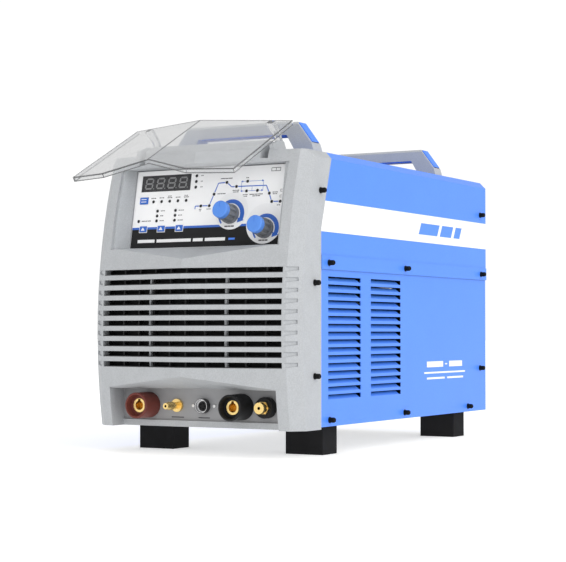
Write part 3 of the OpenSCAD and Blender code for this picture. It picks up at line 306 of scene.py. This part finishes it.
MATERIALS = {
    "bezel_plastic": moulded("moulded_grey", (0.440, 0.455, 0.472), 0.55, 0.0007, 0.00005, 0.05,
                             speckle=0.05),
    "grille_plastic": moulded("grille_dark", (0.030, 0.030, 0.033), 0.6, 0.0007, 0.00003),
    "plate_grey": moulded("plate_grey", (0.33, 0.33, 0.34), 0.5, 0.0005, 0.00002),
    "steel_plain": brushed("zinc_sheet", (0.55, 0.56, 0.58), 0.42),
    "label_film": moulded("label_film", (0.95, 0.95, 0.955), 0.42, 0.0004, 0.00001, 0.008),
    "display_dark": moulded("display_smoke", (0.050, 0.050, 0.053), 0.30, 0.004, 0.000002, 0.05,
                            specular=0.3),
    # the circuit board is kept darker than its own green: painted shade, so the inside of the casing reads
    # dark
    "circuit_board": moulded("circuit_board", (0.01, 0.07, 0.035), 0.4, 0.0012, 0.00003, 0.15, 0.004),
    "led_lens": moulded("led_lens", (0.012, 0.012, 0.014), 0.22, 0.002, 0.000002, 0.05),
    "pot_metal": brushed("pot_metal", (0.6, 0.6, 0.6), 0.35, (1.0, 1.0, 20.0)),
    "knob_grey": moulded("knob_grey", (0.19, 0.20, 0.215), 0.48, 0.0005, 0.00002, 0.05),
    "blue_plastic": moulded("cap_blue", (0.100, 0.275, 0.78), 0.42, 0.0005, 0.000012, 0.02, specular=0.35),
    "clear_plastic": clear_plastic("clear_plastic", (0.97, 0.975, 0.98), 0.08),
    "pin_steel": turned("pin_steel", (0.62, 0.62, 0.64), 0.3, "X"),
    "red_insulator": moulded("red_insulator", (0.15, 0.036, 0.028), 0.5, 0.0006, 0.00002, 0.06, specular=0.3),
    "black_insulator": moulded("black_insulator", (0.010, 0.010, 0.011), 0.5, 0.0006, 0.00002, 0.05,
                               specular=0.25),
    "brass": turned("brass", (0.93, 0.68, 0.27), 0.27),
    "nickel": turned("nickel", (0.70, 0.70, 0.70), 0.3),
    "blue_paint": casing_paint("blue_paint", BLUE, WHITE, STRIPE_LOW, STRIPE_HIGH, STRIPE_X, INSIDE_SHADE,
                               CASING_MIDDLE),
    "handle_plastic": moulded("handle_grey", (0.47, 0.485, 0.50), 0.55, 0.0007, 0.00005, 0.05, speckle=0.05),
    # the grip's faces that look down get a darker blue as painted shade
    "grip_blue": moulded("grip_blue", BLUE, 0.5, 0.0006, 0.00003, 0.02, under=(0.035, 0.085, 0.24)),
    "foot_rubber": moulded("foot_rubber", (0.016, 0.016, 0.017), 0.85, 0.0009, 0.00005, 0.1, specular=0.1),
    "black_steel": moulded("black_steel", (0.006, 0.006, 0.006), 0.5, 0.0006, 0.00001, 0.05, specular=0.12),
    "fan_plastic": moulded("fan_plastic", (0.016, 0.016, 0.018), 0.45, 0.0006, 0.00002, 0.05),
    "switch_plastic": moulded("switch_plastic", (0.05, 0.05, 0.054), 0.45, 0.0006, 0.00002, 0.05),
    # heatsink and winding are kept very dark: painted shade, so the inside of the casing reads dark
    "heatsink": brushed("heatsink", (0.10, 0.10, 0.105), 0.45, (1.0, 1.0, 30.0)),
    "capacitor_sleeve": moulded("capacitor_sleeve", (0.012, 0.014, 0.035), 0.3, 0.002, 0.00001, 0.05),
    "winding": moulded("winding", (0.12, 0.045, 0.018), 0.4, 0.0016, 0.0002, 0.15, 0.004),
}
# variants of a slot's material for single parts
PART_MATERIAL = {
    name: moulded("key_blue", (0.025, 0.145, 0.60), 0.36, 0.0005, 0.000012, 0.02, coat=0.2)
    for name in ("set_button", "left_button", "middle_button", "right_button")
}
PART_MATERIAL["control_socket_shell"] = lined_ring(
    "socket_ring", (-0.001, 0.068), 0.0098, (0.72, 0.72, 0.73), (0.014, 0.014, 0.015))
INK = {
    "band": moulded("ink_band", (0.022, 0.022, 0.023), 0.6, 0.0004, 0.00001, 0.03, specular=0.12),
    "blue": moulded("ink_blue", INK_BLUE, 0.42, 0.0004, 0.00001, 0.03),
    "grey": moulded("ink_grey", (0.035, 0.035, 0.04), 0.45, 0.0004, 0.00001, 0.03),
    "white": moulded("ink_white", (0.90, 0.90, 0.905), 0.42, 0.0004, 0.00001, 0.01),
    "segment": moulded("segment_grey", (0.25, 0.25, 0.255), 0.3, 0.002, 0.000002, 0.03),
    "side_blue": moulded("ink_side_blue", BLUE, 0.4, 0.0022, 0.00001, 0.02),
}


# ---------------------------------------------------------------- pieces from the CAD shapes
MERGE_DISTANCE = 2e-6
FLAT_ANGLE = math.radians(0.6)
SHARP_ANGLE = math.radians(30.0)


def soften(name, width):
    """A copy of a CAD node with its sharp edges rounded, standing in for the node."""
    mesh = NODES[name].data.copy()
    mesh.name = name + "_soft"
    work = bmesh.new()
    work.from_mesh(mesh)
    bmesh.ops.remove_doubles(work, verts=work.verts, dist=MERGE_DISTANCE)
    bmesh.ops.dissolve_limit(work, angle_limit=FLAT_ANGLE, verts=work.verts, edges=work.edges)
    work.to_mesh(mesh)
    work.free()
    if mesh.attributes.get("custom_normal"):
        mesh.attributes.remove(mesh.attributes["custom_normal"])
    mesh.shade_smooth()
    made = bpy.data.objects.new(name + "_soft", mesh)
    SCENE.collection.objects.link(made)
    edge = made.modifiers.new("edges", "BEVEL")
    edge.width = width * MM
    edge.segments = 2
    edge.limit_method = "ANGLE"
    edge.angle_limit = SHARP_ANGLE
    edge.harden_normals = True
    edge.use_clamp_overlap = True
    made.data.materials.clear()
    made.data.materials.append(PART_MATERIAL.get(name, MATERIALS[SLOT_OF[name]]))
    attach(made, BODY_OF[name])
    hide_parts(name)


# rounding in millimetres, and the parts that have it
ROUNDINGS = {
    0.35: ("positive_socket_insert", "negative_socket_insert"),
    0.4: ("front_handle_grip", "rear_handle_grip", "control_socket_shell"),
    0.5: ("top_cover", "adjust_knob_cap", "current_knob_cap", "set_button", "left_button", "middle_button",
          "right_button", "gas_outlet_fitting"),
    0.6: ("gas_outlet_base", "cable_gland_body", "cable_gland_nut"),
    0.7: ("power_switch_body", "power_switch_lever"),
    0.8: ("positive_socket_shell", "negative_socket_shell"),
    1.2: ("foot_front_left", "foot_front_right", "foot_rear_left", "foot_rear_right"),
    2.0: ("front_handle", "rear_handle"),
}
SOFTENED = {part: width for width, parts in ROUNDINGS.items() for part in parts}
for part, obj in NODES.items():
    if part in SOFTENED:
        soften(part, SOFTENED[part])
    else:
        for held in obj.material_slots:
            held.material = MATERIALS[SLOT_OF[part]]


# ---------------------------------------------------------------- printed and inlaid pieces
LEAN = math.radians(10.75)
PANEL_ORIGIN = Vector((0.0, -257.8, 292.3))
PANEL_UP = Vector((0.0, math.sin(LEAN), math.cos(LEAN)))
PANEL_OUT = Vector((0.0, -math.cos(LEAN), math.sin(LEAN)))
FILM = 0.6
# printing starts a little inside the film, and each layer stands a little higher than the last
PRINT_LOW = FILM - 0.05
PRINT_THIN, PRINT_FINE, PRINT_FIRM, PRINT_TOP = FILM + 0.05, FILM + 0.08, FILM + 0.1, FILM + 0.12


def on_panel(x, s, h):
    """A point x across, s up and h out of the control panel, in metres of the row frame."""
    return (PANEL_ORIGIN + Vector((x, 0.0, 0.0)) + PANEL_UP * s + PANEL_OUT * h) * MM


def on_side(y, z, h):
    """A point on the right-hand side of the casing, h out of it."""
    return Vector((HALF_W + h, y - DRAWING_Y, z)) * MM


def on_left_side(y, z, h):
    """A point on the left-hand side of the casing, h out of it."""
    return Vector((-HALF_W - h, y - DRAWING_Y, z)) * MM


def on_plate(x, z, h):
    """A point on the connector plate, h ahead of it."""
    return Vector((x, PLATE_Y - h, z)) * MM


def prism(work, outline, h0, h1, place):
    """A closed slab on a flat outline."""
    low = [work.verts.new(place(a, b, h0)) for a, b in outline]
    high = [work.verts.new(place(a, b, h1)) for a, b in outline]
    work.faces.new(low)
    work.faces.new(list(reversed(high)))
    count = len(outline)
    for i in range(count):
        j = (i + 1) % count
        work.faces.new((low[j], low[i], high[i], high[j]))


RING_STEPS = 64


def ring(work, centre, r0, r1, h0, h1, place, clip):
    """A closed flat ring, its outer edge held inside the clip box."""
    loops = []
    for radius, h in ((r0, h0), (r1, h0), (r1, h1), (r0, h1)):
        loop = []
        for i in range(RING_STEPS):
            turn = 2.0 * math.pi * i / RING_STEPS
            a = min(max(centre[0] + radius * math.cos(turn), clip[0]), clip[1])
            b = min(max(centre[1] + radius * math.sin(turn), clip[2]), clip[3])
            loop.append(work.verts.new(place(a, b, h)))
        loops.append(loop)
    for k in range(4):
        here, there = loops[k], loops[(k + 1) % 4]
        for i in range(RING_STEPS):
            j = (i + 1) % RING_STEPS
            work.faces.new((here[i], here[j], there[j], there[i]))


def rectangle(a0, a1, b0, b1):
    """The outline of a rectangle from its sides."""
    return [(a0, b0), (a1, b0), (a1, b1), (a0, b1)]


def bar(p, q, width):
    """The outline of a straight bar from p to q."""
    dx, dy = q[0] - p[0], q[1] - p[1]
    size = math.hypot(dx, dy)
    nx, ny = -dy / size * width / 2.0, dx / size * width / 2.0
    return [(p[0] - nx, p[1] - ny), (q[0] - nx, q[1] - ny), (q[0] + nx, q[1] + ny), (p[0] + nx, p[1] + ny)]


def piece(name, fill, material, body="machine"):
    """A new mesh piece: fill(bmesh) makes its shape."""
    mesh = bpy.data.meshes.new(name)
    work = bmesh.new()
    fill(work)
    bmesh.ops.recalc_face_normals(work, faces=work.faces)
    work.to_mesh(mesh)
    work.free()
    mesh.materials.append(material)
    made = bpy.data.objects.new(name, mesh)
    SCENE.collection.objects.link(made)
    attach(made, body)


# places on the panel, in millimetres across and up
LABEL_X = 123.4
LABEL_EDGE = 0.2
BAND_TOP = 28.9
LINE_TOP = 32.2
KEYS = {"left_key": (-104.0, 29.4), "middle_key": (-73.0, 29.4), "right_key": (-42.0, 29.4)}
KEY_HALF_W, KEY_HALF_H = 5.8, 4.2
KEY_GAP = 0.3
FRAME_W = 0.9
ADJUST = (42.3, 46.7)
CURRENT = (100.6, 24.0)
DISC_CLIP = (-LABEL_X, LABEL_X - LABEL_EDGE, 1.0, 115.0)


def fill_band(work):
    """The dark band along the foot of the label, notched round the keys."""
    outline = [(-LABEL_X + LABEL_EDGE, 0.8), (LABEL_X - LABEL_EDGE, 0.8), (LABEL_X - LABEL_EDGE, BAND_TOP)]
    notch = KEY_HALF_W + KEY_GAP
    for x, s in sorted(KEYS.values(), reverse=True):
        outline += [(x + notch, BAND_TOP), (x + notch, s - KEY_HALF_H - KEY_GAP),
                    (x - notch, s - KEY_HALF_H - KEY_GAP), (x - notch, BAND_TOP)]
    outline.append((-LABEL_X + LABEL_EDGE, BAND_TOP))
    prism(work, outline, FILM - 0.1, FILM + 0.06, on_panel)


def fill_line(work):
    """The blue line on top of the band, broken at the keys."""
    stops = [-LABEL_X + LABEL_EDGE]
    for x, _ in sorted(KEYS.values()):
        stops += [x - KEY_HALF_W - KEY_GAP, x + KEY_HALF_W + KEY_GAP]
    stops.append(LABEL_X - LABEL_EDGE)
    for a, b in zip(stops[0::2], stops[1::2]):
        prism(work, rectangle(a, b, BAND_TOP, LINE_TOP), FILM - 0.1, FILM + 0.08, on_panel)


def fill_key_frames(work):
    """A white frame round each arrow key."""
    w0, h0 = KEY_HALF_W + KEY_GAP, KEY_HALF_H + KEY_GAP
    w1, h1 = w0 + FRAME_W, h0 + FRAME_W
    for x, s in KEYS.values():
        for a0, a1, b0, b1 in ((-w1, w1, h0, h1), (-w1, w1, -h1, -h0),
                               (-w1, -w0, -h0, h0), (w0, w1, -h0, h0)):
            prism(work, rectangle(x + a0, x + a1, s + b0, s + b1), PRINT_LOW, PRINT_TOP, on_panel)


def fill_discs(work):
    """A white ring behind each dial."""
    ring(work, (43.3, 51.5), 4.6, 27.0, PRINT_LOW, PRINT_TOP, on_panel, DISC_CLIP)
    ring(work, (98.6, 31.5), 4.6, 29.0, PRINT_LOW, PRINT_TOP, on_panel, DISC_CLIP)


def fill_arcs(work):
    """A band that widens clockwise round each knob and ends in an arrowhead."""
    for cx, cs in (ADJUST, CURRENT):
        first, last, steps = 222.0, -22.0, 48
        outer, inner = [], []
        for i in range(steps + 1):
            t = i / steps
            turn = math.radians(first + (last - first) * t)
            grow = min(1.0, 0.35 + 0.9 * t)
            r1, r0 = 19.0 + 3.2 * grow, 19.0 - 3.4 * grow
            outer.append((cx + r1 * math.cos(turn), cs + r1 * math.sin(turn)))
            inner.append((cx + r0 * math.cos(turn), cs + r0 * math.sin(turn)))
        tip = math.radians(last - 25.0)
        base = math.radians(last)
        head = [(cx + 24.4 * math.cos(base), cs + 24.4 * math.sin(base)),
                (cx + 17.0 * math.cos(tip), cs + 17.0 * math.sin(tip)),
                (cx + 13.6 * math.cos(base), cs + 13.6 * math.sin(base))]
        outline = [(min(a, LABEL_X - 0.3), b) for a, b in outer + head + list(reversed(inner))]
        prism(work, outline, FILM, FILM + 0.18, on_panel)


CYCLE = [(-18.5, 56.3), (-18.5, 60.8), (5.0, 60.7), (11.1, 77.2), (16.9, 93.1), (30.7, 93.7),
         (39.6, 86.8), (47.2, 87.0), (96.3, 86.5), (102.0, 74.9), (107.1, 62.8), (122.6, 62.6)]
LED_CLEAR = 2.8
LEDS = [(-9.3, 60.7), (5.0, 60.6), (11.1, 77.2), (30.7, 93.7), (47.2, 87.0), (64.8, 93.9),
        (64.4, 79.8), (82.2, 79.8), (102.0, 74.9), (107.1, 62.8), (120.6, 62.5)]


def open_spans(p, q):
    """The stretches of p-q that stay clear of every lamp."""
    length = math.hypot(q[0] - p[0], q[1] - p[1])
    ux, uy = (q[0] - p[0]) / length, (q[1] - p[1]) / length
    blocked = []
    for x, s in LEDS:
        along = (x - p[0]) * ux + (s - p[1]) * uy
        off = abs((x - p[0]) * uy - (s - p[1]) * ux)
        if off < LED_CLEAR and -LED_CLEAR < along < length + LED_CLEAR:
            half = math.sqrt(LED_CLEAR ** 2 - off ** 2)
            blocked.append((along - half, along + half))
    spans, at = [], 0.0
    for a, b in sorted(blocked):
        if a > at + 0.3:
            spans.append((at, a))
        at = max(at, b)
    if at < length - 0.3:
        spans.append((at, length))
    return [((p[0] + ux * a, p[1] + uy * a), (p[0] + ux * b, p[1] + uy * b)) for a, b in spans]


def fill_cycle(work):
    """The welding cycle as a blue line, left open round the lamps."""
    for p, q in zip(CYCLE, CYCLE[1:]):
        for a, b in open_spans(p, q):
            prism(work, bar(a, b, 1.5), PRINT_LOW, PRINT_FIRM, on_panel)
    # the pulse part of the diagram: thin guide lines and arrowheads
    for p, q in (((55.5, 93.9), (91.0, 93.9)), ((55.5, 79.8), (91.0, 79.8)),
                 ((55.5, 79.0), (55.5, 94.5)), ((91.0, 79.0), (91.0, 94.5)), ((73.2, 79.0), (73.2, 86.0))):
        for a, b in open_spans(p, q):
            prism(work, bar(a, b, 0.55), PRINT_LOW, PRINT_FIRM, on_panel)
    for x, s, way in ((56.2, 93.9, -1), (90.0, 93.9, 1), (56.2, 79.8, -1), (90.0, 79.8, 1)):
        prism(work, [(x + 1.8 * way, s), (x - 1.4 * way, s + 1.5), (x - 1.4 * way, s - 1.5)],
              FILM, FILM + 0.14, on_panel)


def fill_captions(work):
    """Rows of short plain blocks where small captions would stand."""
    def dash(x, s, length, thick=1.15, top=0.08):
        parts = (0.38, 0.25, 0.37) if length > 6.0 else (0.45, 0.55)
        at = x
        for part in parts:
            end = at + part * length
            prism(work, rectangle(at, end - 0.55, s - thick / 2.0, s + thick / 2.0),
                  PRINT_LOW, FILM + top, on_panel)
            at = end

    for i in range(5):
        x = -91.4 + 14.05 * i
        dash(x - 4.2, 75.2 + 0.25 * (i % 2), 8.6)
        if i in (2, 4):
            dash(x - 3.4, 77.6, 6.4)
    for i in range(3):
        dash(-77.0, 41.3 + 7.3 * i, 7.5 - 1.7 * (i % 2))
        dash(-46.2, 41.3 + 7.3 * i, 9.5 - 2.3 * (i % 2))
        dash(-13.4, 89.0 + 8.4 * i, 4.4 - 0.8 * (i % 2))
    dash(-108.2, 41.5, 16.5)
    for x, s, length in ((20.0, 99.6, 20.0), (16.8, 77.4, 14.0), (41.5, 81.4, 11.5), (42.5, 79.0, 9.5),
                         (62.0, 99.0, 5.0), (59.0, 74.4, 8.5), (60.0, 72.0, 7.0), (70.0, 74.4, 22.0),
                         (75.0, 72.0, 13.0), (107.0, 76.2, 9.0), (107.6, 73.8, 7.6),
                         (-11.6, 55.8, 4.6), (-10.8, 53.6, 3.2), (1.0, 55.8, 7.4),
                         (104.0, 57.4, 6.0), (104.6, 55.0, 5.0), (116.0, 57.4, 6.0)):
        dash(x, s, length)
    # a blank card symbol at the upper right corner
    for a0, a1, b0, b1 in ((102.0, 117.0, 111.2, 111.9), (102.0, 117.0, 106.6, 107.3),
                           (102.0, 102.7, 107.3, 111.2), (116.3, 117.0, 107.3, 111.2),
                           (109.2, 109.9, 107.3, 111.2)):
        prism(work, rectangle(a0, a1, b0, b1), PRINT_LOW, PRINT_FINE, on_panel)
    # dial captions
    dash(34.0, 29.4, 16.0, 1.9, 0.2)
    dash(92.0, 7.6, 15.0, 1.9, 0.2)
    # small open frames at the right end of the diagram
    for a, b in ((119.2, 68.2), (119.6, 76.6)):
        for a0, a1, b0, b1 in ((0.0, 3.4, 0.0, 0.6), (0.0, 3.4, 3.0, 3.6), (0.0, 0.6, 0.6, 3.0)):
            prism(work, rectangle(a + a0, a + a1, b + b0, b + b1), PRINT_LOW, PRINT_FINE, on_panel)


def fill_title(work):
    """Plain trim in place of a printed heading."""
    for a, b in ((-111.5, -82.0), (-78.5, -20.0), (-16.5, 0.0), (3.5, 37.0)):
        prism(work, rectangle(a, b, 9.0, 13.6), FILM, PRINT_TOP, on_panel)


def fill_title_mark(work):
    """A short blue block after the heading trim."""
    prism(work, rectangle(42.6, 53.0, 9.8, 12.6), FILM, PRINT_TOP, on_panel)


DISPLAY = (-72.5, 97.3)
DIGIT_W, DIGIT_H, DIGIT_PITCH, DIGIT_SLANT = 11.5, 16.8, 19.4, 0.12
DOT_R = 0.9


def fill_digits(work):
    """Four unlit seven-segment digits, slanted, each with its point."""
    thick, tight = 2.3, 0.35
    for k in range(4):
        cx = DISPLAY[0] + (k - 1.5) * DIGIT_PITCH

        def slanted(a, b):
            return cx + a + DIGIT_SLANT * b, DISPLAY[1] + b

        w, h = DIGIT_W / 2.0, DIGIT_H / 2.0
        for b in (-h + thick / 2.0, 0.0, h - thick / 2.0):
            a = w - tight
            c = a - thick / 2.0
            prism(work, [slanted(*p) for p in ((-a + 0.2, b), (-c, b - thick / 2), (c, b - thick / 2),
                                               (a - 0.2, b), (c, b + thick / 2), (-c, b + thick / 2))],
                  PRINT_LOW, PRINT_THIN, on_panel)
        for a in (-w, w):
            for b0, b1 in ((-h + tight + thick / 2, -tight), (tight, h - tight - thick / 2)):
                t = thick / 2.0
                prism(work, [slanted(*p) for p in ((a, b0), (a + t, b0 + t), (a + t, b1 - t),
                                                   (a, b1), (a - t, b1 - t), (a - t, b0 + t))],
                      PRINT_LOW, PRINT_THIN, on_panel)
        dot = []
        for i in range(12):
            turn = i * math.pi / 6
            dot.append(slanted(w + 3.0 + DOT_R * math.cos(turn), -h + DOT_R + DOT_R * math.sin(turn)))
        prism(work, dot, PRINT_LOW, PRINT_THIN, on_panel)


piece("label_band", fill_band, INK["band"])
piece("label_line", fill_line, INK["blue"])
piece("label_key_frames", fill_key_frames, INK["white"])
piece("label_dial_discs", fill_discs, INK["white"])
piece("label_dial_arcs", fill_arcs, INK["blue"])
piece("label_cycle", fill_cycle, INK["blue"])
piece("label_captions", fill_captions, INK["grey"])
piece("label_title_bar", fill_title, INK["white"])
piece("label_title_mark", fill_title_mark, INK["side_blue"])
piece("display_digits", fill_digits, INK["segment"])

KEY_TOP = FILM + 1.2
for key_body, (key_x, key_s) in KEYS.items():
    def fill_arrow(work):
        prism(work, [(key_x - 3.3, key_s - 2.2), (key_x + 3.3, key_s - 2.2), (key_x, key_s + 2.6)],
              KEY_TOP - 0.1, KEY_TOP + 0.06, on_panel)
    piece(key_body + "_arrow", fill_arrow, INK["white"], key_body)


def fill_set_mark(work):
    """Two plain bars on the long key."""
    for b in (69.6, 73.2):
        prism(work, rectangle(-112.0, -103.2, b, b + 1.1), KEY_TOP - 0.1, KEY_TOP + 0.06, on_panel)


piece("set_key_mark", fill_set_mark, INK["white"], "set_key")


def fill_emblem(place):
    """Three slanted bars on the stripe, a plain ornament."""
    def fill(work):
        for a, length in ((392.0, 70.0), (472.0, 44.0), (526.0, 24.0)):
            prism(work, [(a, 324.5), (a + length, 324.5), (a + length + 10.0, 342.5), (a + 10.0, 342.5)],
                  -0.1, 0.12, place)
    return fill


def fill_side_trim(place):
    """A white rule with plain blocks above and below it, low on the side panel."""
    blocks = [(424.0, 486.0, 117.0, 126.0), (494.0, 502.0, 120.5, 122.5), (510.0, 562.0, 117.0, 126.0),
              (414.0, 574.0, 107.0, 109.6), (424.0, 492.0, 98.0, 101.0), (502.0, 566.0, 98.0, 101.0)]

    def fill(work):
        for a0, a1, b0, b1 in blocks:
            prism(work, rectangle(a0, a1, b0, b1), -1.1, -0.88, place)
    return fill


piece("emblem_right", fill_emblem(on_side), INK["side_blue"])
piece("emblem_left", fill_emblem(on_left_side), INK["side_blue"])
piece("side_trim_right", fill_side_trim(on_side), INK["white"])
piece("side_trim_left", fill_side_trim(on_left_side), INK["white"])


def fill_plate_marks(work):
    """Plain bars under two of the connectors."""
    for a, length in ((-56.0, 21.0), (-10.5, 19.0)):
        prism(work, rectangle(a, a + length, 50.6, 52.0), -0.1, 0.06, on_plate)


piece("plate_marks", fill_plate_marks, INK["grey"])

# ---------------------------------------------------------------- painted shade along the cut edges of the clear cover
PIVOT = Vector((0.0, -204.0, 414.0))
COVER_TILT = math.radians(27.1)
FOLD = math.atan(0.15)
RIDGE_N, RIM = 79.2, 7.0
EDGE_U, BEND_U = 131.0 / math.cos(FOLD), 67.7 / math.cos(FOLD)
OUTLINE = [(0.0, 25.7), (EDGE_U, -1.8), (EDGE_U, 174.9), (BEND_U, 191.3), (0.0, 173.4)]
LINE = 1.1


def on_cover(side, u, s, w):
    """A point of the folded sheet.

    u is out from the ridge, s from the hinge to the tip, w down from the skin.
    """
    x = side * (u * math.cos(FOLD) - w * math.sin(FOLD))
    n = RIDGE_N - u * math.sin(FOLD) - w * math.cos(FOLD)
    flat = Vector((x, -s * math.cos(COVER_TILT) - n * math.sin(COVER_TILT),
                   -s * math.sin(COVER_TILT) + n * math.cos(COVER_TILT)))
    return (PIVOT + flat) * MM


def fill_cover_edges(work):
    """Thin dark square strips let into the cut edges, painted shade standing in for the dark refracted lines
    along a clear sheet's edges.
    """
    def strip(side, p, q, w):
        along = math.hypot(q[0] - p[0], q[1] - p[1])
        nu, ns = -(q[1] - p[1]) / along * LINE, (q[0] - p[0]) / along * LINE
        corners = [(0.05, w + 0.05), (0.95, w + 0.05), (0.95, w + LINE), (0.05, w + LINE)]
        ends = [[work.verts.new(on_cover(side, a + nu * k, b + ns * k, depth)) for k, depth in corners]
                for a, b in (p, q)]
        work.faces.new(ends[0])
        work.faces.new(list(reversed(ends[1])))
        for i in range(4):
            j = (i + 1) % 4
            work.faces.new((ends[0][j], ends[0][i], ends[1][i], ends[1][j]))

    for side in (-1, 1):
        for p, q in zip(OUTLINE, OUTLINE[1:]):
            strip(side, p, q, 0.0)
        for p, q in zip(OUTLINE[1:], OUTLINE[2:]):
            strip(side, p, q, RIM - LINE - 0.1)
    strip(1, (0.4, 26.0), (0.4, 173.0), 0.1)


# dark strips: painted shade along the clear cover's cut edges
piece("cover_edges", fill_cover_edges, moulded("painted_edge_shade", (0.10, 0.105, 0.11), 0.3, 0.002, 0.000002),
      "cover")

# ---------------------------------------------------------------- painted shade: a near-black pad behind the air slots
FACE_CROWN, FACE_X, FACE_R, FACE_Z = 26.8, 153.5, 750.0, 175.0
PAD_X, PAD_Z0, PAD_Z1, PAD_INSET, PAD_T = 146.0, 119.0, 265.0, 22.0, 4.0


def behind_face(x, z, inset):
    """A point on the bezel's face, moved back by inset."""
    bulge = FACE_R - math.sqrt(FACE_R ** 2 - (z - FACE_Z) ** 2)
    ahead = FACE_CROWN - abs(x) * FACE_CROWN / FACE_X
    return Vector((x, -DRAWING_Y - ahead + bulge + inset, z)) * MM


def fill_slot_shade_pad(work):
    """A near-black pad folded to the face's V behind the air slots, painted shade there; its front is
    dimpled.
    """
    across, up = 96, 48
    rows = []
    for k in range(up + 1):
        z = PAD_Z0 + (PAD_Z1 - PAD_Z0) * k / up
        front, back = [], []
        for i in range(across + 1):
            x = PAD_X * (2.0 * i / across - 1.0)
            dimple = 0.35 * math.sin(x * 1.03) * math.sin(z * 1.03)
            front.append(work.verts.new(behind_face(x, z, PAD_INSET + dimple)))
            back.append(work.verts.new(behind_face(x, z, PAD_INSET + PAD_T)))
        rows.append(front + list(reversed(back)))
    ring_size = len(rows[0])
    for low, high in zip(rows, rows[1:]):
        for i in range(ring_size):
            j = (i + 1) % ring_size
            work.faces.new((low[i], low[j], high[j], high[i]))
    for row in (rows[0], rows[-1]):
        for i in range(across):
            work.faces.new((row[i], row[i + 1], row[ring_size - 2 - i], row[ring_size - 1 - i]))


# near-black pad: painted shade behind the air slots
piece("slot_shade_pad", fill_slot_shade_pad, moulded("slot_shade_foam", (0.008, 0.008, 0.009), 0.9, 0.0015, 0.0002))


# ---------------------------------------------------------------- studio
def backdrop_material():
    """A pale matt floor that glows a little, so that it stays white up to the object."""
    mat, tree, bsdf = start("studio_floor")
    cloudy = noise(tree, 0.8, 2.0)
    tree.links.new(
        mix_colour(tree, mapped(tree, cloudy, 0.0, 1.0), (0.80, 0.80, 0.79), (0.82, 0.82, 0.81)),
        bsdf.inputs["Base Color"],
    )
    bsdf.inputs["Roughness"].default_value = 0.9
    bsdf.inputs["Emission Color"].default_value = (1.0, 1.0, 1.0, 1.0)
    bsdf.inputs["Emission Strength"].default_value = 0.45
    return mat


floor_mesh = bpy.data.meshes.new("floor")
floor_work = bmesh.new()
bmesh.ops.create_grid(floor_work, x_segments=4, y_segments=4, size=25.0)
floor_work.to_mesh(floor_mesh)
floor_work.free()
floor_mesh.materials.append(backdrop_material())
floor = bpy.data.objects.new("floor", floor_mesh)
SCENE.collection.objects.link(floor)

world = bpy.data.worlds.new("studio")
SCENE.world = world
world.use_nodes = True
sky = world.node_tree.nodes["Background"]
sky.inputs["Color"].default_value = (1.0, 1.0, 1.0, 1.0)
seen = node(world.node_tree, "ShaderNodeLightPath").outputs["Is Camera Ray"]
world.node_tree.links.new(mapped(world.node_tree, seen, 0.76, 1.05, 0.0, 1.0), sky.inputs["Strength"])


def lamp(name, kind, energy, where, target, size):
    """A disc lamp of a size in metres, or a sun with its angle in radians."""
    data = bpy.data.lights.new(name, kind)
    data.energy = energy
    if kind == "AREA":
        data.shape = "DISK"
        data.size = size
    else:
        data.angle = size
    made = bpy.data.objects.new(name, data)
    SCENE.collection.objects.link(made)
    made.location = where
    made.rotation_mode = "QUATERNION"
    made.rotation_quaternion = (Vector(target) - Vector(where)).to_track_quat("-Z", "Y")


lamp("key", "SUN", 1.15, (3.2, -0.7, 2.4), (0.0, 0.0, 0.2), math.radians(50.0))
lamp("front_soft", "AREA", 4.5, (0.6, -2.6, 1.6), (0.0, -0.3, 0.2), 1.6)

SCENE.view_settings.view_transform = "Standard"
